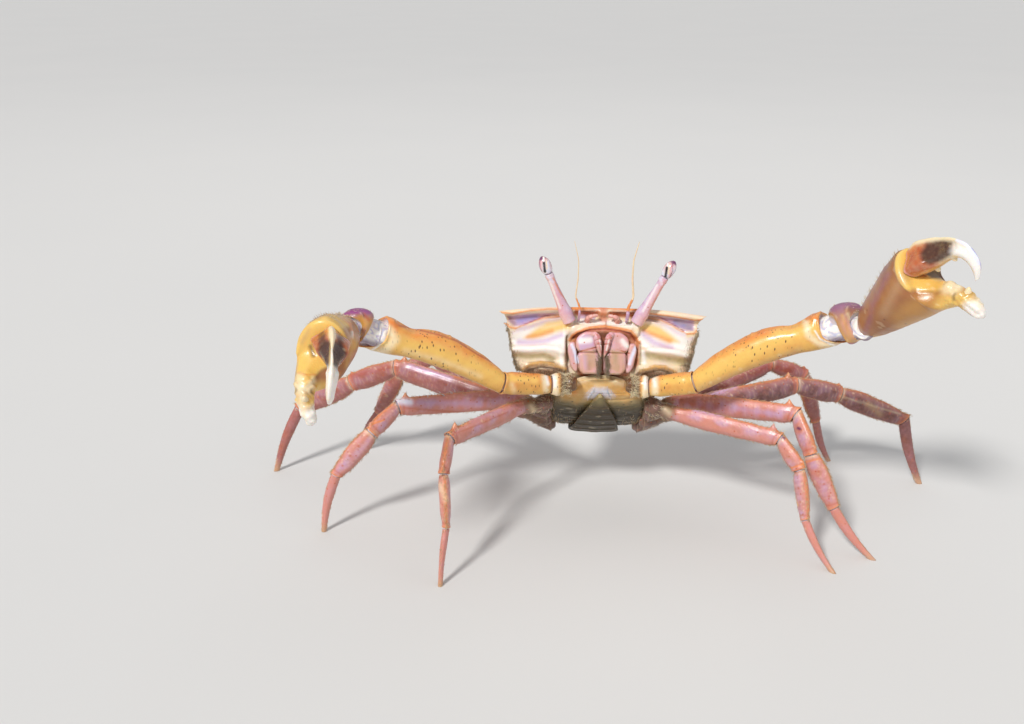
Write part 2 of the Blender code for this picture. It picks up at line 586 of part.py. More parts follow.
def make_arm(side, sign, group, cutters):
    """Claw arm: coxa, ischium, merus, carpus, palm with the fixed finger, and dactyl."""
    joints = joints_of(sign, ARM_ROOT, ARM_POSES[side])
    along, up, across = claw_frame(side, sign)
    planes = [Vector((sign, 0, 0))]
    beyond = joints + [joints[-1] + along]
    for k in range(1, 5):
        planes.append(mitre(beyond[k - 1], beyond[k], beyond[k + 1]))
    for k, part in enumerate(ARM_PARTS):
        stations = [(0, share, high, wide) for share, high, wide in ARM_SIZES[part]]
        rings = limb_rings(joints[k:k + 2], stations, 14, planes[k], planes[k + 1], bow=ARM_BOWS[part])
        named_loft("arm_%s_%s" % (side, part), "carpus" if part == "carpus" else "arm", rings, group)

    wrist = joints[-1]
    stray = CLAW_POSES[side][3]

    def place(spot, inward):
        return wrist + along * spot[0] + up * spot[1] + across * inward * stray

    def claw_rings(rows, start_plane):
        rings = []
        for k, (low, top, thick, inward) in enumerate(rows):
            lower, upper = place(low, inward), place(top, inward)
            half = (upper - lower) / 2
            points = ring((lower + upper) / 2, half.normalized(), across, half.length, thick / 2, 14)
            if k == 0 and start_plane is not None:
                points = slide_to_plane(points, along, wrist + along * HALF_GAP, start_plane)
            rings.append(points)
        return rings

    palm = named_loft("arm_%s_palm" % side, "palm", claw_rings(PALM_ROWS, planes[4]), group)
    dactyl = named_loft("arm_%s_dactyl" % side, "claw_finger", claw_rings(DACTYL_ROWS, None), group)
    for piece, teeth in ((palm, FIXED_TEETH), (dactyl, DACTYL_TEETH)):
        spikes = [spike("tooth", place(root, inward), place(tip, inward), radius, cutters)
                  for root, tip, radius, inward in teeth]
        combine(piece, spikes, "UNION")


def centre_on_floor(group):
    """Brings the middle of the bounding box to x = y = 0, and millimetres to metres."""
    corners = [vert.co for obj in group.objects for vert in obj.data.vertices]
    shift = Vector(((max(c.x for c in corners) + min(c.x for c in corners)) / 2,
                    (max(c.y for c in corners) + min(c.y for c in corners)) / 2, 0.0))
    for obj in group.objects:
        for vert in obj.data.vertices:
            vert.co = (vert.co - shift) * MM


def main():
    clear_scene()
    group = bpy.data.collections.new("angular_crab")
    cutters = bpy.data.collections.new("cutters")
    bpy.context.scene.collection.children.link(group)
    bpy.context.scene.collection.children.link(cutters)
    make_shell(group, cutters)
    make_underside(group)
    make_mouthparts(group, cutters)
    make_eyes_and_feelers(group)
    for side, sign in (("left", 1), ("right", -1)):
        make_arm(side, sign, group, cutters)
        for number in range(4):
            make_leg(side, sign, number, group, cutters)
    centre_on_floor(group)


main()
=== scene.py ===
import math

import bpy
import numpy as np
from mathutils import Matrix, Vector


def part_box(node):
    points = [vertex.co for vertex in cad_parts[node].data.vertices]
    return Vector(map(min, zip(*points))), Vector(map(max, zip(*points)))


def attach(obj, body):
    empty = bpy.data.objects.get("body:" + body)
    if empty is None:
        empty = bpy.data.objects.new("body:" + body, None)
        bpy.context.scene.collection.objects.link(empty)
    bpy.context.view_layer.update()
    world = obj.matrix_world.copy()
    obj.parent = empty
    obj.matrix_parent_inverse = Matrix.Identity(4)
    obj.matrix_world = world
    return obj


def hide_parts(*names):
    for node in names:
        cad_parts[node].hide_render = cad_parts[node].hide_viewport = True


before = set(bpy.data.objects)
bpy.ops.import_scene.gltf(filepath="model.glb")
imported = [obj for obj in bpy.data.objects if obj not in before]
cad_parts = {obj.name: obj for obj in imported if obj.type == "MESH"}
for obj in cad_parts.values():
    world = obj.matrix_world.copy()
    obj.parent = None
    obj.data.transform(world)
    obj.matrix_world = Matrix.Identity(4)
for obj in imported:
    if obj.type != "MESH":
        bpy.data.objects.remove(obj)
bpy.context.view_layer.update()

body = {
    "frontHeight": 40.0,          # front edge above the floor
    "pitch": math.radians(48.0),  # nose up
    "roll": math.radians(1.6),
    "length": 23.0,
    "frontHalf": 5.4,
    "mouthHalf": 6.7,
    "edgeWidths": ((0.0, 17.4), (2.0, 17.0), (5.0, 16.3), (12.0, 13.7), (20.0, 10.4), (23.0, 8.6)),
    "bottomWidths": ((0.0, 15.4), (5.0, 14.6), (10.0, 12.4), (15.0, 10.4), (20.0, 8.8), (23.0, 7.2)),
}
halfGap = 0.16                    # half of the gap between two segments
metre = 0.001
dice = np.random.default_rng(21)  # only the setae draw from it
bothSides = (("left", 1), ("right", -1))


# small helpers for numbers and points
def unit(vectors):
    return vectors / np.maximum(np.linalg.norm(vectors, axis=-1, keepdims=True), 1e-9)


def ease(low, high, value):
    t = np.clip((np.asarray(value, float) - low) / (high - low), 0.0, 1.0)
    return t * t * (3 - 2 * t)


def bell(value, at, width):       # soft bump, one high
    return np.exp(-((value - at) / width) ** 2)


def squarer(value, power):        # a sine or cosine for a ring that is rounder or squarer than a circle
    return np.sign(value) * np.abs(value) ** power


def around(sides):                # angles round a ring
    return np.linspace(0, 2 * math.pi, sides, endpoint=False)


def runAlong(line):
    return np.concatenate([[0], np.cumsum(np.linalg.norm(np.diff(line, axis=0), axis=1))])


def straight(table, value):
    table = np.array(table, float)
    return np.interp(value, table[:, 0], table[:, 1])


def smooth(table, value):         # flowing reading of rows of (place, size, size...)
    table = np.array(table, float)
    at, sizes = table[:, 0], table[:, 1:]
    slopes = np.gradient(sizes, at, axis=0)
    value = np.clip(np.asarray(value, float), at[0], at[-1])
    k = np.clip(np.searchsorted(at, value, side="right") - 1, 0, len(at) - 2)
    gap = (at[k + 1] - at[k])[..., None]
    t = (value - at[k])[..., None] / gap
    found = ((2 * t ** 3 - 3 * t ** 2 + 1) * sizes[k] + (t ** 3 - 2 * t ** 2 + t) * slopes[k] * gap
             + (3 * t ** 2 - 2 * t ** 3) * sizes[k + 1] + (t ** 3 - t ** 2) * slopes[k + 1] * gap)
    return found[..., 0] if found.shape[-1] == 1 else found


def hump(angle, at, width):       # soft bump round a limb, at an angle in degrees
    away = (angle - math.radians(at) + math.pi) % (2 * math.pi) - math.pi
    return np.exp(-(away / math.radians(width)) ** 2)


def waves(points, size, seed, layers=3):      # cheap flowing noise, about -1 to 1, feature size in mm
    draw = np.random.default_rng(seed)
    total = np.zeros(points.shape[:-1])
    for k in range(layers * 4):
        direction = unit(draw.normal(size=3)) * (2 * math.pi / size) * draw.uniform(0.6, 1.9)
        total += np.sin(points @ direction + draw.uniform(0, 6.3))
    return total / (layers * 2.2)


def onBody(x, back, down):
    x, back, down = np.broadcast_arrays(np.asarray(x, float), back, down)
    y = back * math.cos(body["pitch"]) - down * math.sin(body["pitch"])
    z = -back * math.sin(body["pitch"]) - down * math.cos(body["pitch"])
    turn = body["roll"]
    return np.stack([x * math.cos(turn) + z * math.sin(turn), y,
                     body["frontHeight"] + z * math.cos(turn) - x * math.sin(turn)], -1)


def heading(sign, forward, rise):
    f, r = math.radians(forward), math.radians(rise)
    return np.array([sign * math.cos(f) * math.cos(r), -math.sin(f) * math.cos(r), math.sin(r)])


# where the photograph was taken from, in the same millimetres
camera = {"place": np.array([-16.34, -188.97, 98.46]), "tilt": 70.0, "focal": 1100.0,
          "size": (1024, 724), "sensor": 36.0}


def toPicture(points):
    t = math.radians(camera["tilt"])
    ahead = np.array([0.0, math.sin(t), -math.cos(t)])
    above = np.array([0.0, math.cos(t), math.sin(t)])
    away = points - camera["place"]
    depth = away @ ahead
    return np.stack([camera["size"][0] / 2 + camera["focal"] * away[..., 0] / depth,
                     camera["size"][1] / 2 - camera["focal"] * (away @ above) / depth], -1)


def nearLine(pixels, line):       # distance in pixels from each point to a line of points
    line = np.array(line, float).reshape(-1, 2)
    best = np.full(pixels.shape[:-1], 1e9)
    for a, b in zip(line, line[1:]):
        run = b - a
        t = np.clip(((pixels - a) @ run) / max(run @ run, 1e-9), 0, 1)
        best = np.minimum(best, np.linalg.norm(pixels - a - t[..., None] * run, axis=-1))
    return best


def inArea(pixels, corners):      # distance in pixels, negative inside
    corners = np.array(corners, float).reshape(-1, 2)
    inside = np.zeros(pixels.shape[:-1], bool)
    for (x0, y0), (x1, y1) in zip(corners, np.roll(corners, -1, axis=0)):
        crosses = (y0 > pixels[..., 1]) != (y1 > pixels[..., 1])
        inside ^= crosses & (pixels[..., 0] < (x1 - x0) * (pixels[..., 1] - y0) / (y1 - y0 + 1e-12) + x0)
    away = nearLine(pixels, np.vstack([corners, corners[:1]]))
    return np.where(inside, -away, away)


# paints, as they look on the animal; the dark russet is partly painted shade
paints = {
    "white": "f4eee6", "cream": "f0dcb4", "yellow": "ecc062", "ochre": "d09a48", "tan": "c09a72",
    "orange": "e0843c", "rust": "b8582c", "red": "a83a24", "salmon": "cd8674", "pink": "e2a4a0",
    "rose": "c2706a", "lilac": "c4a4c8", "mauve": "96607c", "magenta": "93407c", "purple": "6a2c5c",
    "blue": "8a86c8", "ice": "dfe2f2", "grey": "8c8490", "olive": "9a8a58", "moss": "6a5e3c",
    "brown": "7a4a30", "umber": "4c2e20", "black": "120c10", "coral": "cc7858", "brick": "8e4c40",
    "bronze": "a4683a", "felt": "84705a", "soot": "352a1c", "shadedRusset": "562b24",
}


def linear(name):
    code = paints.get(name, name)
    parts = [int(code[k:k + 2], 16) / 255 for k in (0, 2, 4)]
    return [p / 12.92 if p <= 0.04045 else ((p + 0.055) / 1.055) ** 2.4 for p in parts]


def layPaints(paint, layers):     # paints laid over one another, each with its mask
    for name, mask in layers:
        mask = (mask * np.ones(paint.shape[:-1]))[..., None]
        paint = paint * (1 - mask) + np.array(linear(name)) * mask
    return paint


# materials: four shader groups, then the one shell material that every finish is made with
skinSurfaceAndShade = {
    "breakup": 0.45, "ridge": 0.2, "creaseShade": 0.4, "scatter": 0.12, "scatterScale": 0.0006, "coatRough": 0.2,
    "fine": 0.6, "pits": 0.4, "mottleRange": (0.34, 0.66),
    "edges": (("Ridge", 0.52, 0.6), ("Crease", 0.48, 0.41)),
}


def newGroup(name, inputs, outputs):
    tree = bpy.data.node_groups.new(name, "ShaderNodeTree")
    for label, value in inputs:
        tree.interface.new_socket(label, in_out="INPUT", socket_type="NodeSocketFloat").default_value = value
    for label in outputs:
        tree.interface.new_socket(label, in_out="OUTPUT", socket_type="NodeSocketFloat")
    return tree, tree.nodes.new("NodeGroupInput").outputs, tree.nodes.new("NodeGroupOutput").inputs


def fill(tree, made, inputs):     # a socket is linked, a number or colour is set
    for key, value in dict(inputs).items():
        if isinstance(value, bpy.types.NodeSocket):
            tree.links.new(value, made.inputs[key])
        else:
            made.inputs[key].default_value = value


def node(tree, kind, inputs=(), **settings):
    made = tree.nodes.new(kind)
    for key, value in settings.items():
        setattr(made, key, value)
    fill(tree, made, inputs)
    return made


def sums(tree, operation, a, b=0.0, clamp=False):
    return node(tree, "ShaderNodeMath", {0: a, 1: b}, operation=operation, use_clamp=clamp).outputs[0]


def spread(tree, value, low, high, toLow=0.0, toHigh=1.0):
    return node(tree, "ShaderNodeMapRange", {"Value": value, "From Min": low, "From Max": high, "To Min": toLow,
                                             "To Max": toHigh}).outputs[0]


def places(tree):
    return tree.nodes.new("ShaderNodeTexCoord").outputs["Object"]


def makeShellGrain():
    tree, given, made = newGroup("shellGrain", (("Scale", 3600.0), ("Mottle Scale", 420.0)),
                                 ("Height", "Mottle"))
    fine = node(tree, "ShaderNodeTexNoise", {"Vector": places(tree), "Scale": given["Scale"], "Detail": 4.0})
    pits = node(tree, "ShaderNodeTexVoronoi", {"Vector": places(tree), "Scale": given["Scale"]})
    blotch = node(tree, "ShaderNodeTexNoise", {"Vector": places(tree), "Scale": given["Mottle Scale"],
                                               "Detail": 5.0, "Roughness": 0.62})
    tree.links.new(sums(tree, "ADD", sums(tree, "MULTIPLY", fine.outputs[0], skinSurfaceAndShade["fine"]),
                        sums(tree, "MULTIPLY", pits.outputs["Distance"], skinSurfaceAndShade["pits"])), made["Height"])
    tree.links.new(spread(tree, blotch.outputs[0], *skinSurfaceAndShade["mottleRange"]), made["Mottle"])
    return tree


def makeFleckMask():
    tree, given, made = newGroup("fleckMask", (("Scale", 900.0), ("Size", 0.3), ("Share", 0.3),
                                               ("Squeeze", 1.0)), ("Mask",))
    squeeze = node(tree, "ShaderNodeCombineXYZ", {0: 1.0, 1: 1.0, 2: given["Squeeze"]})
    tilted = node(tree, "ShaderNodeMapping", {"Vector": places(tree), "Rotation": (0.0, 0.6, 0.0),
                                              "Scale": squeeze.outputs[0]})
    spots = node(tree, "ShaderNodeTexVoronoi", {"Vector": tilted.outputs[0], "Scale": given["Scale"]})
    dot = spread(tree, spots.outputs["Distance"], given["Size"], sums(tree, "MULTIPLY", given["Size"], 0.5))
    chance = node(tree, "ShaderNodeSeparateColor", {0: spots.outputs["Color"]})
    kept = sums(tree, "LESS_THAN", chance.outputs[0], given["Share"])
    tree.links.new(sums(tree, "MULTIPLY", dot, kept), made["Mask"])
    return tree


def makeBrokenMask():
    tree, given, made = newGroup("brokenMask", (("Mask", 0.0), ("Breakup", 0.5), ("Scale", 1500.0)), ("Mask",))
    noise = node(tree, "ShaderNodeTexNoise", {"Vector": places(tree), "Scale": given["Scale"], "Detail": 4.0})
    wander = sums(tree, "MULTIPLY", sums(tree, "SUBTRACT", noise.outputs[0], 0.5), given["Breakup"])
    edge = sums(tree, "MULTIPLY", given["Mask"], sums(tree, "SUBTRACT", 1.15, given["Mask"]))
    moved = sums(tree, "MULTIPLY", sums(tree, "MULTIPLY", edge, 4.0), wander)
    tree.links.new(sums(tree, "ADD", given["Mask"], moved, clamp=True), made["Mask"])
    return tree


def makeRidgeMask():
    tree, given, made = newGroup("ridgeMask", (("Amount", 0.5),), ("Ridge", "Crease"))
    bend = tree.nodes.new("ShaderNodeNewGeometry").outputs["Pointiness"]
    for label, low, high in skinSurfaceAndShade["edges"]:
        tree.links.new(sums(tree, "MULTIPLY", spread(tree, bend, low, high), given["Amount"]), made[label])
    return tree


groups = {"grain": makeShellGrain(), "flecks": makeFleckMask(), "broken": makeBrokenMask(),
          "ridge": makeRidgeMask()}


def placeGroup(tree, name, inputs=()):
    made = tree.nodes.new("ShaderNodeGroup")
    made.node_tree = groups[name]
    fill(tree, made, inputs)
    return made.outputs


def blendPaint(tree, share, below, above):
    below, above = ((*linear(paint), 1.0) if isinstance(paint, str) else paint for paint in (below, above))
    return node(tree, "ShaderNodeMix", {0: share, 6: below, 7: above}, data_type="RGBA").outputs[2]


# upper and lower paint, mottle (paint, amount), flecks (paint, scale, size, share, squeeze), roughness from
# and to, coat, and the depth of the grain in metres
lookParts = ("upper", "lower", "mottle", "flecks", "rough", "coat", "bump")
looks = {
    "shell": ("coral", "cream", ("lilac", 0.28), ("rust", 700, 0.2, 0.25, 1.0), (0.3, 0.48), 0.25, 0.00005),
    "arm": ("orange", "ochre", ("yellow", 0.5), ("umber", 2200, 0.3, 0.6, 0.4), (0.28, 0.42), 0.3, 0.00003),
    "carpus": ("mauve", "ochre", ("tan", 0.3), ("purple", 800, 0.2, 0.2, 1.0), (0.26, 0.4), 0.35, 0.00003),
    "palm": ("brown", "bronze", ("ochre", 0.45), ("brown", 900, 0.2, 0.15, 1.0), (0.28, 0.42), 0.3, 0.00003),
    "finger": ("yellow", "cream", ("white", 0.3), ("ochre", 900, 0.2, 0.2, 1.0), (0.22, 0.36), 0.4, 0.00002),
    "leg": ("coral", "salmon", ("lilac", 0.4), ("rust", 1200, 0.2, 0.35, 1.0), (0.32, 0.5), 0.2, 0.00005),
    "sternum": ("ochre", "olive", ("cream", 0.35), ("moss", 900, 0.25, 0.4, 1.0), (0.4, 0.6), 0.1, 0.00006),
    "abdomen": ("olive", "moss", ("tan", 0.4), ("umber", 900, 0.25, 0.3, 1.0), (0.42, 0.6), 0.1, 0.00006),
    "mouth": ("pink", "tan", ("lilac", 0.4), ("rust", 1100, 0.2, 0.2, 1.0), (0.3, 0.45), 0.25, 0.00004),
    "stalk": ("lilac", "pink", ("white", 0.35), ("rust", 1300, 0.18, 0.15, 1.0), (0.22, 0.35), 0.4, 0.00002),
    "eye": ("pink", "ice", ("white", 0.3), ("rose", 2600, 0.25, 0.3, 1.0), (0.06, 0.12), 1.0, 0.000004),
    "feeler": ("tan", "coral", ("cream", 0.4), ("brown", 1500, 0.2, 0.2, 1.0), (0.4, 0.55), 0.1, 0.00002),
    "film": ("white", "ice", ("blue", 0.25), ("mauve", 900, 0.2, 0.1, 1.0), (0.16, 0.3), 0.5, 0.00004),
    "setae": ("tan", "brown", ("cream", 0.4), ("umber", 900, 0.3, 0.3, 1.0), (0.45, 0.6), 0.0, 0.00001),
}


def shellMaterial(name):
    made = bpy.data.materials.get(name + "Finish")
    if made:
        return made
    look = dict(zip(lookParts, looks[name]))
    made = bpy.data.materials.new(name + "Finish")
    made.use_nodes = True
    tree = made.node_tree
    shader = tree.nodes["Principled BSDF"]

    def attribute(label):
        return node(tree, "ShaderNodeAttribute", attribute_name=label).outputs

    grain = placeGroup(tree, "grain")
    colour = blendPaint(tree, attribute("upper")["Fac"], look["lower"], look["upper"])
    paint, amount = look["mottle"]
    colour = blendPaint(tree, sums(tree, "MULTIPLY", grain["Mottle"], amount), colour, paint)
    mark = attribute("marking")
    share = placeGroup(tree, "broken", {"Mask": mark["Alpha"], "Breakup": skinSurfaceAndShade["breakup"]})["Mask"]
    colour = blendPaint(tree, share, colour, mark["Color"])
    paint, scale, size, amount, squeeze = look["flecks"]
    flecks = placeGroup(tree, "flecks", {"Scale": scale, "Size": size, "Share": amount, "Squeeze": squeeze})
    share = sums(tree, "MULTIPLY", flecks["Mask"], attribute("speckled")["Fac"])
    colour = blendPaint(tree, share, colour, paint)
    ridge = placeGroup(tree, "ridge", {"Amount": 1.0})
    # painted shade: creases, found from the pointiness, are darkened with brown; the ridges are lightened with
    # cream
    colour = blendPaint(tree, sums(tree, "MULTIPLY", ridge["Crease"], skinSurfaceAndShade["creaseShade"]), colour, "brown")
    colour = blendPaint(tree, sums(tree, "MULTIPLY", ridge["Ridge"], skinSurfaceAndShade["ridge"]), colour, "cream")
    colour = blendPaint(tree, attribute("membrane")["Fac"], colour, "ice")
    tree.links.new(colour, shader.inputs["Base Color"])
    tree.links.new(spread(tree, grain["Mottle"], 0.0, 1.0, *look["rough"]), shader.inputs["Roughness"])
    bump = node(tree, "ShaderNodeBump", {"Height": grain["Height"], "Distance": look["bump"], "Strength": 1.0})
    tree.links.new(bump.outputs[0], shader.inputs["Normal"])
    shader.inputs["Coat Weight"].default_value = look["coat"]
    shader.inputs["Coat Roughness"].default_value = skinSurfaceAndShade["coatRough"]
    shader.inputs["Subsurface Weight"].default_value = skinSurfaceAndShade["scatter"]
    shader.inputs["Subsurface Scale"].default_value = skinSurfaceAndShade["scatterScale"]
    return made


# one call finishes every piece: relief, marks of the photographed side, masks and mesh
def normalsOf(points, quads, tris):
    normal = np.zeros_like(points)
    for faces in (quads, tris):
        if len(faces) == 0:
            continue
        first = points[faces[:, 0]]
        area = np.cross(points[faces[:, 1]] - first, points[faces[:, 2]] - first)
        if faces.shape[1] == 4:
            area = area + np.cross(points[faces[:, 2]] - first, points[faces[:, 3]] - first)
        for k in range(faces.shape[1]):
            np.add.at(normal, faces[:, k], area)
    return unit(normal)


def isInsideOut(points, quads, tris):
    total = 0.0
    for faces in (quads, tris):
        for k in range(1, faces.shape[1] - 1 if len(faces) else 1):
            a, b, c = points[faces[:, 0]], points[faces[:, k]], points[faces[:, k + 1]]
            total += float(np.einsum("ij,ij->", a, np.cross(b, c)))
    return total < 0


def layMarks(spots, facing, marks):   # lines and areas in any flat coordinates, one over the other
    colour, cover, height = np.zeros((len(spots), 3)), np.zeros(len(spots)), np.zeros(len(spots))
    for mark in marks:
        paint, line, wide, soft = mark[:4]
        strength, raised = (tuple(mark[4:]) + (1.0, 0.0)[len(mark) - 4:])[:2]
        away = inArea(spots, line) if wide is None else nearLine(spots, line) - wide / 2
        mask = (1 - ease(-soft / 2, soft / 2, away)) * facing
        height += mask * raised
        if paint:
            colour, cover = laidOver(colour, cover, np.array(linear(paint)), mask * strength)
    return colour, cover, height


def laidOver(below, belowCover, above, aboveCover):
    total = belowCover + aboveCover - belowCover * aboveCover
    mixed = below * (belowCover * (1 - aboveCover))[:, None] + above * aboveCover[:, None]
    return np.where(total[:, None] > 1e-5, mixed / np.maximum(total, 1e-5)[:, None], below), total


skins = {}                        # what the setae need to know of each finished piece


def finishPiece(name, points, quads, tris, look, nodes=None, marks=(), relief=None, masks=None,
                unwrap=None, own=None, flow=None):
    masks = dict(masks or {})
    quads = np.asarray(quads, int).reshape(-1, 4)
    tris = np.asarray(tris, int).reshape(-1, 3)
    if isInsideOut(points - points.mean(0), quads, tris):
        quads, tris = quads[:, ::-1], tris[:, ::-1]
    normals = normalsOf(points, quads, tris)
    if relief is not None:
        points = points + normals * relief[:, None]
        normals = normalsOf(points, quads, tris)
    colour, cover = masks.pop("wash", (np.zeros((len(points), 3)), np.zeros(len(points))))
    facing = ease(-0.05, 0.25, (unit(camera["place"] - points) * normals).sum(-1))
    layers = [(toPicture(points), facing, marks)]
    if own:
        layers.insert(0, (own[0], 1.0, own[1]))
    height = 0.0
    for spots, share, drawn in layers:
        paint, amount, raised = layMarks(spots, share, drawn)
        colour, cover = laidOver(colour, cover, paint, amount)
        height = height + raised
    points = points + normals * height[:, None]
    normals = normalsOf(points, quads, tris)
    mesh = bpy.data.meshes.new(name)
    mesh.from_pydata(((points - shift) * metre).tolist(), [], quads.tolist() + tris.tolist())
    mesh.update()
    mesh.shade_smooth()
    masks.setdefault("upper", ease(-0.5, 0.8, normals[:, 2]))
    masks.setdefault("speckled", np.ones(len(points)))
    masks.setdefault("membrane", np.zeros(len(points)))
    for label, values in masks.items():
        mesh.attributes.new(label, "FLOAT", "POINT").data.foreach_set(
            "value", np.ascontiguousarray(values, np.float32))
    marking = mesh.attributes.new("marking", "FLOAT_COLOR", "POINT")
    marking.data.foreach_set("color", np.column_stack([colour, cover]).astype(np.float32).ravel())
    mesh.materials.append(shellMaterial(look))
    piece = bpy.data.objects.new(name, mesh)
    bpy.context.scene.collection.objects.link(piece)
    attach(piece, "root")
    if nodes:
        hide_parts(*([nodes] if isinstance(nodes, str) else nodes))
    skins[name] = {"points": points, "normals": normals, "unwrap": unwrap, "flow": flow,
                   "own": own[0] if own else unwrap}
    return piece


def tubeFaces(rings, sides):
    k, j = np.meshgrid(np.arange(rings - 1), np.arange(sides), indexing="ij")
    n = (j + 1) % sides
    quads = np.stack([k * sides + j, k * sides + n, (k + 1) * sides + n, (k + 1) * sides + j], -1)
    j = np.arange(sides)
    n = (j + 1) % sides
    last = (rings - 1) * sides
    tris = np.vstack([np.stack([n, j, np.full(sides, rings * sides)], -1),
                      np.stack([last + j, last + n, np.full(sides, rings * sides + 1)], -1)])
    return quads.reshape(-1, 4), tris


def tubePiece(name, rings, look, nodes=None, marks=(), relief=None, masks=None, own=None):
    count, sides = rings.shape[:2]
    quads, tris = tubeFaces(count, sides)

    def flat(values, deep=()):
        values = np.broadcast_to(values, (count, sides, *deep)).astype(float)
        return np.concatenate([values.reshape(-1, *deep), [values[0].mean(0), values[-1].mean(0)]])

    made = {key: flat(value) for key, value in (masks or {}).items() if key != "wash"}
    if masks and "wash" in masks:
        made["wash"] = (flat(masks["wash"][0], (3,)), flat(masks["wash"][1]))
    k, j = np.meshgrid(np.linspace(0, 1, count), np.linspace(0, 1, sides), indexing="ij")
    return finishPiece(name, flat(rings, (3,)), quads, tris, look, nodes, marks,
                       None if relief is None else flat(relief), made, flat(np.stack([k, j], -1), (2,)),
                       (flat(own[0], (2,)), own[1]) if own else None,
                       flat(unit(np.gradient(rings, axis=0)), (3,)))


# tubes and limbs
def softLine(corners, step, soften=0.0):
    corners = np.array(corners, float)
    run = runAlong(corners)
    count = max(4, int(run[-1] / step) + 1)
    place = np.linspace(0, run[-1], count)
    line = np.stack([np.interp(place, run, corners[:, k]) for k in range(3)], 1)
    if soften:
        reach = max(1, int(soften / step))
        padded = np.vstack([line[0] + (line[0] - line[1]) * np.arange(reach, 0, -1)[:, None], line,
                            line[-1] + (line[-1] - line[-2]) * np.arange(1, reach + 1)[:, None]])
        weight = np.hanning(2 * reach + 3)[1:-1]
        line = np.stack([np.convolve(padded[:, k], weight / weight.sum(), "valid") for k in range(3)], 1)
    return line, place


def mitre(before, joint, after):
    return unit(unit(joint - before) + unit(after - joint))


ends = {                          # (how much narrower, how deep), and how much each ring is skin
    "neck": ((0.05, 0.0), (0.12, 0.05), (0.2, 0.2), (0.26, 0.45), (0.34, 0.8), (0.48, 1.1)),
    "cup": ((0.02, 0.05), (0.06, 0.06), (0.1, 0.0), (0.14, -0.25), (0.2, -0.6), (0.4, -0.8)),
    "neckFilm": (1.0, 1.0, 1.0, 0.9, 0.5, 0.15), "cupFilm": (0.0, 0.0, 0.1, 0.5, 1.0, 1.0),
}


def neckOf(ring, normal):         # rings that go back into the segment before
    first = ring.mean(0)
    return [first + (ring - first) * (1 - s) - normal * d for s, d in reversed(ends["neck"])]


seams = {                         # how a limb's ends meet its neighbours
    "lip": 0.45, "hollow": (1.1, 0.5, 0.5), "skew": 3, "margin": 0.4, "most": 0.6, "trimReach": 8.0,
}


def limbRings(line, high, wide, sign, sides, startNormal, endNormal, square=2.4, shape=None, raised=None,
              lip=0.16, depth=1.0, trims=(None, None)):
    # the skin, with a neck that goes into the segment before and a cup for the next; also gives the
    # place along, the angle and the mask of the membrane
    turn = around(sides)
    axis = unit(np.gradient(line, axis=0))
    side = unit(np.cross(axis, [0.0, 0.0, 1.0]))
    up = np.cross(side, axis)
    side = side * sign
    run = runAlong(line)
    share = (run / run[-1])[:, None]
    factor = 1.0 if shape is None else shape(share, turn[None])
    c, s = np.cos(turn), np.sin(turn)
    across = squarer(c, 2.0 / square) * wide[:, None] * factor
    rise = squarer(s, 2.0 / square) * high[:, None] * factor
    rings = line[:, None] + side[:, None] * across[..., None] + up[:, None] * rise[..., None]
    left = run[-1] - run[:, None]
    at, width, hollow = seams["hollow"]
    lift = lip * (bell(left, 0.0, seams["lip"]) - hollow * bell(left, at, width))
    if raised is not None:
        lift = lift + raised(share, turn[None], run[-1])
    rings = rings + unit(rings - line[:, None]) * lift[..., None]
    for end, normal in ((0, startNormal), (-1, endNormal)):
        place = line[end] + axis[end] * halfGap * (1 if end == 0 else -1)
        slide = ((place - rings[end]) @ normal) / (axis[end] @ normal)
        reach = min(seams["skew"] * np.abs(slide).max() + seams["margin"], run[-1] * seams["most"])
        weight = np.clip(1 - (run if end == 0 else run[-1] - run) / reach, 0, 1) ** 2
        rings = rings + weight[:, None, None] * slide[None, :, None] * axis[end]
    reach = min(run[-1], seams["trimReach"])
    for end, trim in ((0, trims[0]), (-1, trims[1])):
        if trim:                  # how far the edge reaches on at the top, front, bottom and back
            top, front, bottom, back = trim
            slide = np.where(s > 0, top, bottom) * s ** 2 + np.where(c > 0, front, back) * c ** 2
            weight = np.clip(1 - (run if end == 0 else run[-1] - run) / reach, 0, 1)
            rings = rings + (weight[:, None] * slide)[..., None] * axis[:, None]
    startNormal = startNormal * np.sign(startNormal @ axis[0])
    endNormal = endNormal * np.sign(endNormal @ axis[-1])
    last = rings[-1].mean(0)
    neck = neckOf(rings[0], startNormal * depth)
    cup = [last + (rings[-1] - last) * (1 - s) + endNormal * d * depth for s, d in ends["cup"]]
    film = np.concatenate([ends["neckFilm"], np.zeros(len(line)), ends["cupFilm"]])
    place = np.concatenate([[-d * depth for s, d in reversed(ends["neck"])], run, [run[-1]] * len(cup)])
    return np.concatenate([neck, rings, cup]), place, turn, film[:, None] * np.ones(sides), run[-1]


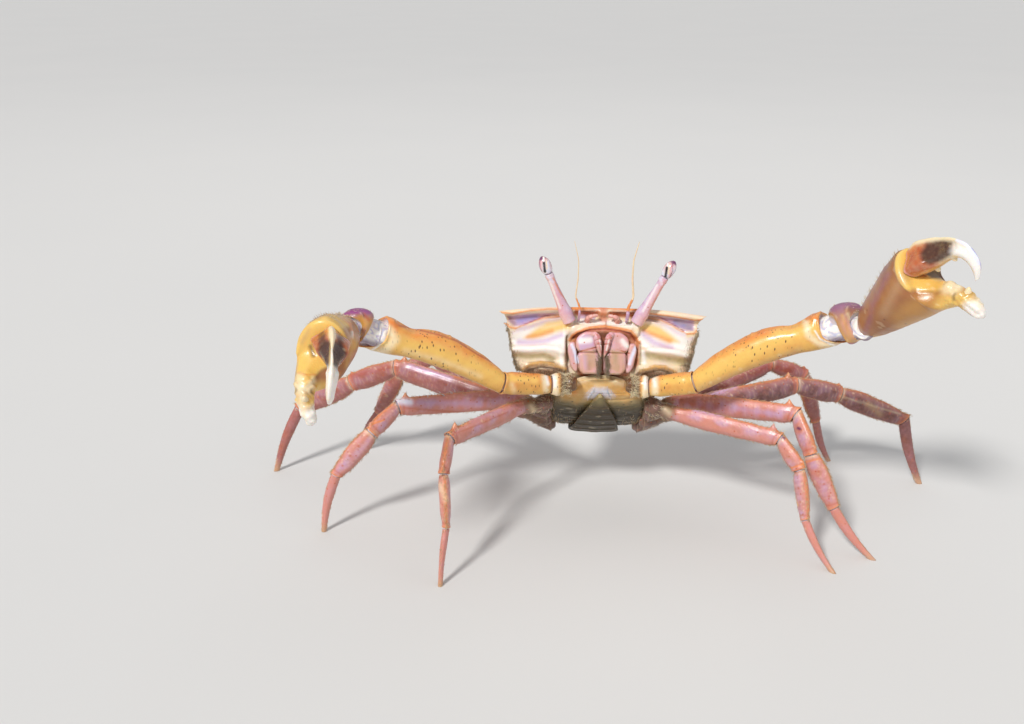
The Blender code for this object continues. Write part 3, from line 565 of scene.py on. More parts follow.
arms = {
    "root": (5.3, 6.0, 12.4),
    "parts": ("coxa", "ischium", "merus", "carpus"),
    "poses": {"left": ((0, -6, 3.4), (27, 16, 8.8), (13, 28, 24.8), (47, 15, 6.2)),
              "right": ((0, -2, 3.8), (22, 10, 9.6), (14, 27, 24.4), (38, 19, 6.0))},
    "bows": {"coxa": 0.0, "ischium": 0.0, "merus": 1.3, "carpus": 0.7},
    "claws": {"left": (68, 44, 18, 0.0), "right": (88, 4, 5, 1.0)},
    "trims": {"merus": (None, (-0.9, -1.0, 2.6, -0.3)),
              "carpus": ((0.0, 2.0, 3.2, 0.8), (0.0, -1.0, -1.7, 0.0)),
              "carpus_right": ((1.5, 2.4, 3.2, 0.8), (0.0, -1.0, -1.7, 0.0))},
    "sizes": {
        "coxa": ((0.0, 1.7, 1.7), (0.35, 1.85, 1.8), (0.75, 1.8, 1.7), (1.0, 1.55, 1.5)),
        "ischium": ((0.0, 1.5, 1.4), (0.15, 1.75, 1.6), (0.5, 1.9, 1.7), (0.85, 1.95, 1.8), (1.0, 1.8, 1.7)),
        "merus": ((0.0, 1.75, 1.65), (0.1, 2.05, 1.9), (0.3, 2.45, 2.2), (0.5, 2.75, 2.4), (0.72, 2.8, 2.45),
                  (0.9, 3.05, 2.6), (1.0, 2.7, 2.4)),
        "carpus": ((0.0, 2.2, 2.1), (0.22, 3.1, 2.7), (0.55, 3.4, 2.9), (0.78, 3.1, 2.6), (1.0, 2.2, 2.0)),
    },
    "low": {"carpus_right": 0.84},
    "section": ((0.03, 90, 24), (-0.02, 0, 40), (0.015, 235, 30)),    # height, angle and width of each bump
    "knobs": {                    # height, angle and its width, share of the length and its width
        "coxa": ((0.3, None, 0, 0.75, 0.16), (-0.3, None, 0, 0.3, 0.14)),
        "merus": ((-1.05, 90, 62, 0.79, 0.12), (0.3, 80, 30, 0.97, 0.05), (0.28, 70, 18, 0.95, 0.035)),
    },
    "keel": (0.16, 100, 9),
    "thorns": {                   # height, angle and its width, share of the length, half length, sharpness
        "merus": (0.3, 90, 12, 0.5, 0.7, 2), "carpus": (0.7, 55, 13, 0.72, 0.9, 1.5),
    },
    "film": {"elbow": 2.2, "wrist": 1.85}, "speckled": (0.25, 0.75), "step": 0.2, "sides": 72,
}
claws = {
    "sides": 80, "rings": {"palm": 170, "dactyl": 110}, "finger": (17.5, 19.0), "grain": (0.02, 2.2),
    "palm": ((0.05, 90, 16), (0.03, 270, 18)), "dactyl": ((0.04, 90, 14),),
    "waist": (0.09, 90, 30, 3.6), "knobbly": (0.2, 1.5), "blade": (0.62, 0.75),
}
# rows of the claw: lower edge and upper edge, each (along, up), thickness, and how far it strays inward
palmRows = (
    (0.0, -1.9, 0.0, 1.9, 3.4, 0.0), (1.8, -2.6, 2.0, 2.6, 4.8, 0.0), (5.4, -3.5, 5.2, 3.4, 6.8, 0.0),
    (9.4, -4.3, 9.0, 4.3, 7.9, -0.2), (13.0, -5.0, 12.8, 5.1, 8.3, -0.5), (15.0, -5.3, 16.3, 4.9, 7.6, -0.4),
    (16.2, -5.6, 16.0, 0.7, 6.4, -1.1), (17.3, -6.0, 17.5, -1.7, 4.0, -2.2),
    (18.4, -6.5, 19.6, -3.3, 3.1, -2.3),
    (18.9, -7.4, 21.2, -5.5, 2.7, -1.95), (19.2, -8.4, 21.6, -7.4, 2.3, -1.4),
    (19.8, -9.4, 21.4, -9.0, 1.7, -0.95),
    (20.4, -9.9, 20.8, -9.8, 0.8, -0.9),
)
dactylRows = (
    (16.5, 0.55, 16.9, 4.7, 6.2, 0.8), (18.3, 0.05, 19.0, 4.9, 5.6, 1.3), (20.4, -0.3, 21.3, 4.1, 4.3, 1.9),
    (22.4, -0.5, 23.2, 3.1, 2.9, 2.25), (24.0, -1.0, 25.2, 1.6, 2.1, 2.7), (24.5, -2.0, 26.4, -0.2, 1.7, 2.8),
    (24.5, -3.1, 26.5, -2.0, 1.4, 2.7), (24.1, -4.1, 25.9, -3.7, 1.1, 2.6), (23.5, -5.0, 24.3, -5.0, 0.6, 2.35),
)
clawTeeth = {
    "palm": (((18.2, -4.0), (19.5, -2.7), 0.9, -2.3), ((20.0, -6.3), (21.9, -5.1), 0.7, -1.8)),
    "dactyl": (((19.6, 0.6), (19.4, -0.7), 0.6, 1.7), ((23.0, 0.1), (23.1, -1.1), 0.5, 2.35)),
}
# marks of both claws, in the claw's own (along, up): they go right round
clawMarks = {
    "palm": (
        ("bronze", (3, 0, 9, 0, 14, -0.5), 7, 6, 0.6), ("brown", (6, -1.5, 11, -2.0, 15, -2.4), 3.5, 3.5, 0.4),
        ("mauve", (2.2, 2.6, 5.2, 3.4, 9.0, 4.3, 13.0, 5.1), 1.0, 2.4, 0.6),
        ("ochre", (8, -4.2, 12.5, -4.8, 16.5, -5.4), 1.8, 2.2, 0.7),
        ("bronze", (15.5, 4.9, 15.4, 3.0, 15.3, 1.0, 15.5, -0.8, 16.4, -2.6, 17.6, -4.0), 1.2, 0.6, 0.85),
        ("yellow", (16.5, 4.7, 16.3, 3.0, 16.15, 1.4, 16.3, 0.2, 16.9, -1.1, 18.1, -2.2, 19.6, -3.0), 1.3,
         0.4, 1.0, 0.3),
        ("cream", (19.2, -3.4, 20.2, -4.4), 1.5, 1.2, 0.9),
        ("yellow", (18.0, -5.4, 19.8, -6.4, 20.6, -7.6), 3.2, 1.6, 0.9),
        ("umber", (19.9, -4.7, 19.4, -5.3), 0.5, 0.5, 0.55, -0.15),
        ("white", (20.6, -7.8, 20.7, -9.8), 2.4, 1.4, 0.95), ("yellow", (0.6, -2.3, 2.0, -2.9), 1.0, 1.0, 0.8),
    ),
    "dactyl": (
        ("rust", (16.8, 2.6, 18.6, 2.4, 20.0, 2.0), 4.6, 1.6, 0.9),
        ("orange", (17.4, 4.6, 19.0, 4.6), 1.0, 1.0, 0.8),
        # painted shade: the umber in the hollow of each flank of the dactyl
        ("umber", (19.8, 3.2, 21.0, 3.75, 23.3, 2.9, 25.1, 1.3, 25.1, 0.3, 23.5, -0.2, 21.6, 0.0, 20.2, 0.7),
         None, 0.8, 0.95, -0.35),
        ("ochre", (19.0, 0.2, 21.0, -0.2, 22.8, -0.4), 0.3, 0.5, 0.8),
        ("cream", (25.2, 0.9, 25.5, -0.4), 1.2, 0.8, 0.9),
        ("white", (25.2, -0.2, 25.7, -1.6, 25.3, -3.6, 24.0, -5.0), 2.4, 2.0, 1.0),
        ("yellow", (24.0, -0.6, 24.6, -2.2, 24.5, -3.6), 0.5, 0.6, 0.75),
        ("cream", (18.0, 4.95, 19.2, 4.95, 21.3, 4.15, 23.3, 3.1, 25.3, 1.6, 26.3, 0.0), 0.6, 0.5, 1.0, 0.06),
        ("ice", (25.6, 1.2, 26.5, -0.3, 26.6, -1.8, 26.1, -3.4), 0.45, 0.4, 0.9),
        ("pink", (16.9, 4.6, 16.6, 0.7), 0.5, 0.5, 0.9),
    ),
}


def jointsOf(sign, root, pose):
    joints = [onBody(sign * root[0], root[1], root[2])]
    for forward, rise, length in pose:
        joints.append(joints[-1] + heading(sign, forward, rise) * length)
    return joints


def roundTube(points, radii, sides):          # the solids' way, rings square to a line of points
    points = np.array(points, float)
    axis = np.zeros_like(points)
    axis[1:-1] = points[2:] - points[:-2]
    axis[0], axis[-1] = points[1] - points[0], points[-1] - points[-2]
    axis = unit(axis)
    side = unit(np.cross([0.0, 1.0, 0.0], axis))
    up = np.cross(axis, side)
    turn = around(sides)[:, None]
    radii = np.array(radii, float)[:, None, None]
    return points[:, None] + radii * (side[:, None] * np.cos(turn) + up[:, None] * np.sin(turn))


eyes = {
    "root": (6.5, -0.3, 2.0), "sink": 0.4, "length": 8.6, "lean": {"left": 28, "right": 23}, "eyeLength": 3.2,
    "stalk": ((0.0, 1.15), (0.12, 1.2), (0.3, 0.95), (0.6, 0.66), (0.85, 0.64), (1.0, 0.75)),
    "eye": ((0.0, 0.75), (0.18, 0.95), (0.45, 1.05), (0.72, 0.9), (0.9, 0.55), (1.0, 0.2)),
    "reach": (-0.08, 1.04), "rings": (90, 60), "sides": (40, 48),
    "close": ((1.05, 0.93), (1.052, 0.8), (1.045, 0.5)),      # how the far end of the stalk closes
    "swell": (0.24, 0.62, 0.28), "rim": (0.05, 0.97, 0.02), "eyeSink": 0.15, "fuller": 1.04, "neck": 0.75,
    "cap": (0.8, 0.93), "foot": (0.12, 0.02, 0.8), "purple": 0.95,
}


def stalkLine(side, sign):
    lean = math.radians(eyes["lean"][side])
    axis = unit(np.array([sign * math.sin(lean), -0.05, math.cos(lean)]))
    root = onBody(sign * eyes["root"][0], *eyes["root"][1:])
    return root, axis, [root + axis * (eyes["length"] * t - eyes["sink"]) for t, _ in eyes["stalk"]]


# the solids are centred on the floor: how far they moved, read from one that is easy to work out
stalkSolid = roundTube(stalkLine("left", 1)[2], [r for _, r in eyes["stalk"]], 10).reshape(-1, 3)
shift = stalkSolid.min(0) - np.array(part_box("eyestalk_left")[0]) / metre
shift[2] = 0.0
print("shift of the solids, mm", shift.round(3))


eyeMarks = {
    "right": {
        "stalk": (
            # painted highlight: the white stripe down the stalk
            ("white", (549.5, 281, 553, 290, 557, 300, 560, 308), 2.0, 2.5, 0.8),
            ("orange", (553.5, 279, 560, 292, 572, 308), 1.6, 1.8, 0.75),
            ("orange", (546, 279, 551, 291, 558, 309), 1.0, 1.5, 0.5),
            ("ice", (547, 275, 553, 282), 3.0, 2.0, 0.6),
        ),
        "eye": (
            ("pink", (540, 262, 541, 272), 3, 3, 0.8), ("ice", (548, 261, 549, 274), 2.5, 2, 0.8),
            # painted highlight: the cream stripe beside the black slit and the white spot above it are a glint
            ("black", (543.8, 262, 545, 271.5), 2.6, 1.0), ("cream", (546.5, 261, 547, 269), 1.2, 1.0),
            ("white", (543.6, 257.5, 543.8, 261), 1.8, 1.0),
            ("purple", (541.5, 257, 539.6, 262, 540, 268, 542.4, 273.5), 0.9, 1.0, 0.8),
        ),
    },
    "left": {
        "stalk": (
            # painted highlight: the white stripe down the stalk
            ("white", (657, 285, 650, 298, 643, 311), 2.0, 2.5, 0.7),
            ("orange", (653, 283, 645, 297, 635, 311), 1.8, 1.8, 0.8),
            ("orange", (663, 285, 655, 300, 648, 314), 1.0, 1.5, 0.5),
            ("ice", (660, 278, 662, 284), 3.0, 2.0, 0.5),
        ),
        "eye": (
            ("pink", (670.5, 267, 670, 277), 3, 3, 0.8), ("ice", (662, 268, 662.5, 277), 2.5, 2, 0.8),
            # painted highlight: the cream stripe beside the black slit and the white spot above it are a glint
            ("black", (667, 267.5, 665.2, 278), 2.6, 1.0), ("cream", (669.3, 265, 668.4, 274), 1.3, 1.0),
            ("white", (667.8, 263.5, 667.6, 266), 1.5, 1.0),
            ("purple", (672.4, 264, 672.6, 271, 670, 277.5), 0.9, 1.0, 0.8),
        ),
    },
}


def makeEyes():
    far, thin = np.array(eyes["close"]).T
    count, eyeCount = eyes["rings"]
    height, at, width = eyes["swell"]
    rim, rimAt, rimWidth = eyes["rim"]
    for side, sign in bothSides:
        root, axis, _ = stalkLine(side, sign)
        t = np.concatenate([np.linspace(*eyes["reach"], count), far])
        line = root + axis * (eyes["length"] * t - eyes["sink"])[:, None]
        radii = smooth(eyes["stalk"], t) * np.concatenate([np.ones(count), thin])
        radii = radii * (1 + height * bell(t, at, width)) + rim * bell(t, rimAt, rimWidth)
        tubePiece("eyestalk_skin_" + side, roundTube(line, radii, eyes["sides"][0]), "stalk",
                  "eyestalk_" + side, eyeMarks[side]["stalk"])
        base = root + axis * (eyes["length"] + 2 * halfGap)
        t = np.sin(np.linspace(0, math.pi / 2, eyeCount))
        line = base + axis * (eyes["eyeLength"] * t)[:, None] - axis * eyes["eyeSink"]
        radii = smooth(eyes["eye"], t) * eyes["fuller"]
        radii[0] *= eyes["neck"]
        start, end, share = eyes["foot"]
        purple = np.minimum(ease(*eyes["cap"], t)[:, None] + share * ease(start, end, t)[:, None], 1)
        tubePiece("eye_skin_" + side, roundTube(line, radii, eyes["sides"][1]), "eye", "eye_" + side,
                  eyeMarks[side]["eye"], masks={"wash": (linear("purple"), purple * eyes["purple"])})


# feelers
feelers = {
    "root": (4.3, 1.3, 2.0), "elbow": (4.3, -0.9, 2.0), "slim": {"left": 0.62, "right": 0.42}, "bend": 0.5,
    "tips": {"left": (1.6, 0.3, 13.4), "right": (-1.1, 0.6, 13.2)}, "sides": 14, "step": 0.06,
    "sizes": (0.45, 0.5, 0.5, 0.45, 0.32, 0.26, 0.2, 0.1), "stout": (1.2, 2.2), "buried": (0.9, 0.5),
    "joint": (0.28, 0.12), "collar": (0.06, 0.25, 0.15), "rings": (0.06, 0.34), "wash": (0.7, 0.85),
}
antennules = {
    "line": ((2.7, 2.2, 1.7), (2.7, 1.0, 1.7), (2.5, 0.3, 1.8), (1.8, 0.0, 1.7), (1.0, 0.1, 1.5)),
    "sizes": ((0.0, 0.5), (1.2, 0.5), (2.1, 0.4), (3.0, 0.32), (4.0, 0.2)), "joints": (0.9, 1.9, 2.7),
    "joint": (0.25, 0.1), "sides": 18, "step": 0.05,
}


def makeFeelers():
    lift = np.array([0.0, 0.0, 1.0])
    for side, sign in bothSides:
        root, elbow = (onBody(sign * feelers[key][0], *feelers[key][1:]) for key in ("root", "elbow"))
        tip = elbow + np.array(feelers["tips"][side])
        bend = np.array([-feelers["bend"] * sign, 0, 0])
        corners = [root, root + (elbow - root) * 0.55, elbow + lift * 0.2, elbow + lift * 1.4,
                   elbow + (tip - elbow) * 0.25 - bend, elbow + (tip - elbow) * 0.5 + bend * 0.4,
                   elbow + (tip - elbow) * 0.75 + bend, tip]
        run = runAlong(np.array(corners))
        line, place = softLine(corners, feelers["step"], 0.8)
        sizes = smooth(list(zip(run, feelers["sizes"])), place)
        start, end = feelers["stout"]
        stout = 1 - ease(run[3] + start, run[3] + end, place)
        depth, width = feelers["joint"]
        collar, before, long = feelers["collar"]
        for at in (run[1], run[2] + 0.5, run[3] + 0.9):
            sizes = sizes * (1 - depth * bell(place, at, width)) + collar * bell(place, at - before, long)
        depth, apart = feelers["rings"]
        rings = depth * (np.abs(np.sin(place * math.pi / apart)) - 0.5) * (1 - stout)
        sizes = sizes * feelers["slim"][side] * (1 + rings)
        start, end = feelers["buried"]
        buried = ease(run[2] + start, run[2] + end, place)[:, None, None]
        low, high = feelers["wash"]
        tone = np.where(stout[:, None, None] > 0.5, np.array(linear("orange")), np.array(linear("cream")))
        wash = (tone * (1 - buried) + np.array(linear("lilac")) * buried,
                np.maximum((high * stout)[:, None], low))
        tubePiece("antenna_skin_" + side, roundTube(line, sizes, feelers["sides"]), "feeler",
                  "antenna_" + side, masks={"wash": wash})
        corners = [onBody(sign * x, back, down) for x, back, down in antennules["line"]]
        line, place = softLine(corners, antennules["step"], 0.5)
        sizes = smooth(antennules["sizes"], place)
        depth, width = antennules["joint"]
        for at in antennules["joints"]:
            sizes = sizes * (1 - depth * bell(place, at, width))
        tubePiece("antennule_skin_" + side, roundTube(line, sizes, antennules["sides"]), "feeler",
                  "antennule_" + side, masks={"wash": (linear("pink"), 0.8)})


# the shell
shell = {
    "columns": 176, "rows": 84, "steps": 64,
    "outer": (18.7, 17.7, 17.2, 17.1, 17.1, 16.9, 16.6, 16.4, 15.9, 15.6, 15.2),
    "socket": 1.62, "grain": 0.035, "heart": (0.55, 2.6, 16), "grooves": (0.5, 3.4, 0.7),
    "line": (0.28, 4.6, 0.5),
    "cover": 0.85, "clouds": {"ochre": 0.6, "rose": 0.5, "brick": 0.7, "cream": 0.35, "orange": 0.8,
                              "felt": 0.7},
    "tooth": (4.9, 1.45, 1.15, 1.75),         # of each side: back, down, size, height
}
shellMarks = {
    "right": (
        ("tan", (504, 332, 507, 348, 513, 368), 9, 8, 0.75),
        ("white", (513, 330, 566, 322, 568, 345, 562, 352, 516, 352, 510, 338), None, 6, 0.9),
        ("lilac", (512, 331, 530, 327, 548, 320, 566, 317), 3, 6, 0.55),
        ("yellow", (524, 338, 536, 329, 547, 323, 570, 320, 570, 328, 556, 332, 547, 335, 533, 339), None, 6,
         0.9),
        ("orange", (528, 337, 540, 335, 552, 331), 3, 5, 0.75), ("cream", (542, 328, 565, 323), 2, 4, 0.6),
        ("lilac", (519, 342, 534, 342, 547, 340.5, 562, 335), 4.5, 6, 0.75, -0.12),
        ("pink", (516, 346, 545, 345), 2, 4, 0.3),
        ("white", (514, 349, 530, 349.5, 545, 347.5, 556, 349, 562, 352), 4.5, 4, 0.95, 0.3),
        # painted shade: the olive in the hollow under the white ridge; painted highlight: the white stripe
        # beside the mouth frame
        ("olive", (516, 356, 530, 357, 545, 356, 553, 360), 5, 5, 0.75, -0.25),
        ("white", (559, 347, 561, 354, 562, 363), 4, 4, 0.95, 0.1),
        ("moss", (567, 336, 567, 348, 568.5, 363), 1.6, 2, 0.8, -0.15),
        ("ochre", (523, 369, 530, 364.5, 541, 363, 552, 364, 565, 369), 3.4, 3, 0.95, 0.25),
        ("umber", (526, 371.5, 541, 367.2, 560, 370), 2.2, 2.5, 0.85, -0.2),
        ("lilac", (506, 317, 537, 313.5, 560, 313, 536, 320, 524, 326, 515, 326, 508, 320), None, 2.5, 0.85,
         -0.15),
        ("blue", (518, 321, 536, 317), 4, 5, 0.75), ("brown", (509, 318, 514, 323), 4, 5, 0.6),
        ("white", (520, 314.5, 540, 313, 556, 312.6), 2, 2.5, 0.7),
        ("orange", (499, 312.4, 512, 313.4, 530, 310.6, 548, 309.2, 560, 309.4), 1.5, 1.6, 0.9, 0.12),
        ("cream", (502, 318, 506, 326, 514, 329.5), 3.5, 3, 0.9),
        ("orange", (499.5, 313, 503.5, 320, 509, 327, 516, 328.3), 1.7, 1.8, 0.9, 0.1),
        ("orange", (516, 328, 528, 323.5, 543, 318, 560, 316.3), 1.0, 1.4, 0.85, 0.1),
        ("red", (520, 325.6, 533, 320.4, 545, 316.6, 560, 314.8), 0.9, 1.2, 0.7, -0.1),
    ),
    "left": (
        ("tan", (702, 334, 692, 346, 687, 366), 8, 8, 0.75),
        ("white", (636, 322, 668, 326, 694, 336, 688, 352, 655, 351, 641, 343), None, 6, 0.9),
        ("lilac", (646, 319, 664, 324, 678, 333, 692, 338), 3, 6, 0.5),
        ("yellow", (634, 327, 647, 323, 660, 327, 671, 335, 679, 342, 668, 343, 655, 337, 640, 331), None, 6,
         0.9),
        ("orange", (644, 331, 657, 336, 670, 341), 3.4, 5, 0.75),
        ("lilac", (643, 334, 655, 343, 672, 348), 4.5, 6, 0.8, -0.15),
        ("pink", (660, 345, 682, 351), 2, 4, 0.3),
        ("white", (641, 340, 652, 350, 671, 351.5, 687, 355.5), 4.5, 4, 0.95, 0.3),
        # painted shade: the olive in the hollow under the white ridge; painted highlight: the white stripe
        # beside the mouth frame
        ("olive", (646, 355, 662, 358.5, 684, 362), 6, 5, 0.75, -0.25),
        ("white", (643, 352, 644.5, 363), 3.6, 4, 0.95, 0.1),
        ("moss", (640, 343, 640.5, 352, 640, 364), 1.6, 2, 0.8, -0.15),
        ("ochre", (641, 370.5, 654, 367, 665, 367.5, 675, 372), 3.4, 3, 0.95, 0.25),
        ("umber", (643, 373.5, 660, 370.5, 673, 374), 2.2, 2.5, 0.85, -0.2),
        ("lilac", (650, 315, 668, 317, 694, 321, 694, 331, 684, 331.5, 673, 325), None, 2.5, 0.85, -0.15),
        ("grey", (676, 322, 690, 327), 6, 5, 0.7), ("blue", (674, 323, 684, 326), 3, 4, 0.4),
        ("white", (648, 315, 668, 317.5, 688, 320.5), 1.8, 2.2, 0.7),
        ("orange", (645, 312.8, 671, 316, 694, 320, 706.5, 319), 1.5, 1.6, 0.9, 0.12),
        ("cream", (702, 325, 696, 333, 688, 336), 4, 3, 0.9),
        ("orange", (706, 319.5, 700, 328, 694, 333.5, 687, 333.8), 1.7, 1.8, 0.9, 0.1),
        ("orange", (687, 333.6, 679, 330, 671, 325, 660, 319.8, 646, 317.6), 1.0, 1.4, 0.85, 0.1),
        ("red", (684, 331.4, 673, 324, 661, 318.4, 646, 316), 0.9, 1.2, 0.7, -0.1),
    ),
    "front": (
        ("rust", (571, 343, 577, 334, 590, 329.5, 604, 328.5, 620, 330, 632, 333, 639, 345, 639, 364, 627,
                  376, 603, 378, 581, 377, 570, 366), None, 3, 0.75),
        ("orange", (571, 341, 576, 336), 4, 4, 0.7), ("orange", (633, 336, 638, 343), 4, 4, 0.7),
        ("rust", (577, 313, 596, 313.5), 6.5, 2.5, 0.95, -0.3), ("umber", (579, 312, 594, 312), 2.6, 2, 0.7),
        ("rust", (612, 314, 632, 315), 6.5, 2.5, 0.95, -0.3), ("umber", (614, 313, 630, 314), 2.6, 2, 0.7),
        ("white", (572, 320.5, 590, 322.5, 604, 322.5, 620, 323.5, 637, 326), 5, 3.5, 0.95, 0.15),
        ("lilac", (581, 317, 594, 318), 3, 2, 0.7),
        ("orange", (572, 308.6, 590, 307.8, 604, 307.6, 619, 308.4, 636, 309.6), 3.2, 1.6, 1.0, 0.15),
        ("coral", (603, 310, 603, 318), 9, 5, 0.8, 0.1), ("orange", (598, 314, 609, 314), 2, 3, 0.6),
        ("orange", (569, 340, 572, 335, 577, 331.5, 589, 328, 604, 326.8, 620, 328.8, 631, 331, 636, 336,
                    639.5, 342), 2.4, 1.6, 0.95, 0.25),
        ("red", (573, 338, 579, 333, 590, 330, 605, 329, 619, 331, 630, 334, 635, 341), 1.6, 1.6, 0.9, -0.2),
        ("rust", (605.5, 321.5, 606, 328), 1.4, 1.4, 0.8, 0.1),
    ),
}


def faceRows(x):                  # (back, down) of the eleven rows of the face, for each place across
    x = np.abs(x)
    lower = 1.5 + 2.1 * np.maximum(0, (x - 6) / 10) ** 1.3
    droop = 1.4 * np.maximum(0, (x - 6) / 12.7) ** 2
    flat = np.zeros_like(x)
    side = ((flat, droop), (flat + 0.15, 0.7 + droop), (flat + 2.0, 0.85 + droop),
            (flat + 2.1, np.maximum(lower, 1.3 + droop)), (flat + 0.9, lower + 0.1), (flat + 1.7, lower + 1.0),
            (flat + 2.9, flat + 5.7), (flat + 2.7, flat + 7.2), (flat + 4.3, flat + 8.5),
            (flat + 4.2, flat + 9.4),
            (flat + 5.0, flat + 10.1))
    middle = ((0.0, 0.0), (0.1, 0.9), (1.7, 1.1), (1.9, 2.8), (0.9, 3.1), (1.3, 4.1), (3.3, 4.6),
              (4.2, 6.2), (5.1, 7.6), (5.8, 8.9), (6.4, 10.0))
    side = np.array(side).transpose(2, 0, 1)
    middle = np.broadcast_to(np.array(middle), side.shape)
    blendAt = np.where(np.arange(11) < 5, body["frontHalf"], body["mouthHalf"])
    share = ease(0, 1, (x[:, None] - blendAt + 0.25) / 0.6)[..., None]
    return middle * (1 - share) + side * share


def shellPoints(x, t, r):         # x across, t from the front to the rear, r row from 0 to 10
    rows = faceRows(x)
    k = np.clip(np.floor(r).astype(int), 0, 9)
    f = (r - k)[:, None]
    pick = np.arange(len(x))
    p0, p1 = rows[pick, np.maximum(k - 1, 0)], rows[pick, k]
    p2, p3 = rows[pick, k + 1], rows[pick, np.minimum(k + 2, 10)]
    face = 0.5 * (2 * p1 + (p2 - p0) * f + (2 * p0 - 5 * p1 + 4 * p2 - p3) * f ** 2
                  + (3 * p1 - p0 - 3 * p2 + p3) * f ** 3)
    faceBack, faceDown = face[:, 0], face[:, 1]
    share = r / 10
    wideX = np.abs(x)
    back = faceBack + (body["length"] - 1.2 * share - faceBack) * t
    edge, bottom = straight(body["edgeWidths"], back), straight(body["bottomWidths"], back)
    wide = edge + (bottom - edge) * share
    crown = 1.5 * np.sin(math.pi * np.minimum(1.0, back / body["length"] * 0.9 + 0.06)) * t ** 0.3
    top = 0.9 * t - crown * (1 - (wideX / 17) ** 2)
    topDown = faceDown * (1 - t) + top * t
    topDown = np.where(t > 0.2, np.minimum(topDown, top), topDown)
    hurry = np.minimum(1.0, t * 3)
    sideDown = faceDown * (1 - hurry) + (top + (10.1 + 0.7 * t - top) * share) * hurry
    down = topDown + (sideDown - topDown) * np.minimum(1, r)
    across = wideX + (wide - 17) * (wideX / 17) ** (2 - np.minimum(1, 4 * t))
    pull = ease(15.7, 17.0, wideX) ** 1.4 * np.clip(1 - t / 0.09, 0, 1) ** 1.6
    across = across + (np.interp(r, range(11), shell["outer"]) - across) * pull
    back = back + np.where(r < 1, 0.3 * (1 - r), 0) * pull
    # the small second tooth of each side
    atBack, atDown, size, height = shell["tooth"]
    tooth = np.clip(1 - np.hypot(back - atBack, down - atDown) / size, 0, 1) ** 1.6 * ease(15.0, 16.6, wideX)
    return np.sign(x) * (across + height * tooth), back - 0.9 * tooth, down - 0.1 * tooth


def cubeGrid(columns, steps, rows):
    ids = np.full((columns + 1, steps + 1, rows + 1), -1)
    edge = np.zeros(ids.shape, bool)
    for axis in range(3):
        for end in (0, -1):
            edge[tuple(end if k == axis else slice(None) for k in range(3))] = True
    ids[edge] = np.arange(edge.sum())
    quads = []
    for axis in range(3):
        for end in (0, -1):
            sheet = ids[tuple(end if k == axis else slice(None) for k in range(3))]
            face = np.stack([sheet[:-1, :-1], sheet[1:, :-1], sheet[1:, 1:], sheet[:-1, 1:]], -1).reshape(-1, 4)
            flip = (end == 0) != (axis == 1)
            quads.append(face[:, ::-1] if flip else face)
    return np.argwhere(edge), np.vstack(quads)


def makeShell():
    spots, quads = cubeGrid(shell["columns"], shell["steps"], shell["rows"])
    u = spots[:, 0] / shell["columns"] * 2 - 1
    x = 17.0 * np.sign(u) * (1 - (1 - np.abs(u)) ** 1.15)
    t = (spots[:, 1] / shell["steps"]) ** 1.3
    r = spots[:, 2] / shell["rows"] * 10
    x, back, down = shellPoints(x, t, r)
    points = onBody(x, back, down)
    for sign in (-1, 1):          # sockets of the eyestalks
        centre = onBody(sign * eyes["root"][0], *eyes["root"][1:])
        away = points - centre
        far = np.linalg.norm(away, axis=1)
        near = far < shell["socket"]
        points[near] = centre + away[near] / far[near, None] * shell["socket"]
    upperSide = ease(0.5, 1.0, 1 - r) * ease(0.0, 0.1, t)
    deep, apart, width = shell["grooves"]
    groove = bell(np.abs(x) - apart - 0.25 * np.abs(back - 13), 0, width) * ease(6, 9, back) * ease(19, 16,
                                                                                                    back)
    high, size, at = shell["heart"]
    heart = np.exp(-(x / size) ** 2 - ((back - at) / size) ** 2)
    faint, at, width = shell["line"]
    across = bell(back - at - 0.02 * x ** 2, 0, width) * ease(3, 6, np.abs(x))
    relief = upperSide * (high * heart - deep * groove + faint * across) \
        + shell["grain"] * waves(points, 0.7, 5) * ease(0.2, 0.6, t)
    areas = {"ochre": ease(-0.2, 0.9, waves(points, 5.0, 14)), "rose": ease(0.1, 0.9, waves(points, 3.0, 15)),
             "brick": groove * upperSide, "cream": ease(0.4, 1.0, waves(points, 0.8, 16)),
             "orange": upperSide * ease(0.12, 0.05, t), "felt": (1 - upperSide) * ease(1.0, 2.5, r)}
    paint = layPaints(np.array([linear("coral")] * len(x)),
                      [(name, share * areas[name]) for name, share in shell["clouds"].items()])
    masks = {"wash": (paint, ease(0.03, 0.14, t) * ease(8.5, 2.0, r) * shell["cover"]),
             "upper": np.clip(upperSide * 1.2 + 0.15 * (r < 0.4), 0, 1),
             "speckled": ease(0.02, 0.2, t) * 0.9 + 0.1}
    unwrap = np.stack([(spots[:, 0] / shell["columns"] + spots[:, 1] / shell["steps"] * 0.3) / 1.3,
                       (r / 10 + t * 0.5) / 1.5], -1)
    down = unit(onBody(0.0, 0.0, 1.0) - onBody(0.0, 0.0, 0.0))
    finishPiece("carapace_skin", points, quads, np.zeros((0, 3), int), "shell", "carapace",
                shellMarks["right"] + shellMarks["left"] + shellMarks["front"],
                relief, masks, unwrap, flow=np.tile(down, (len(points), 1)))


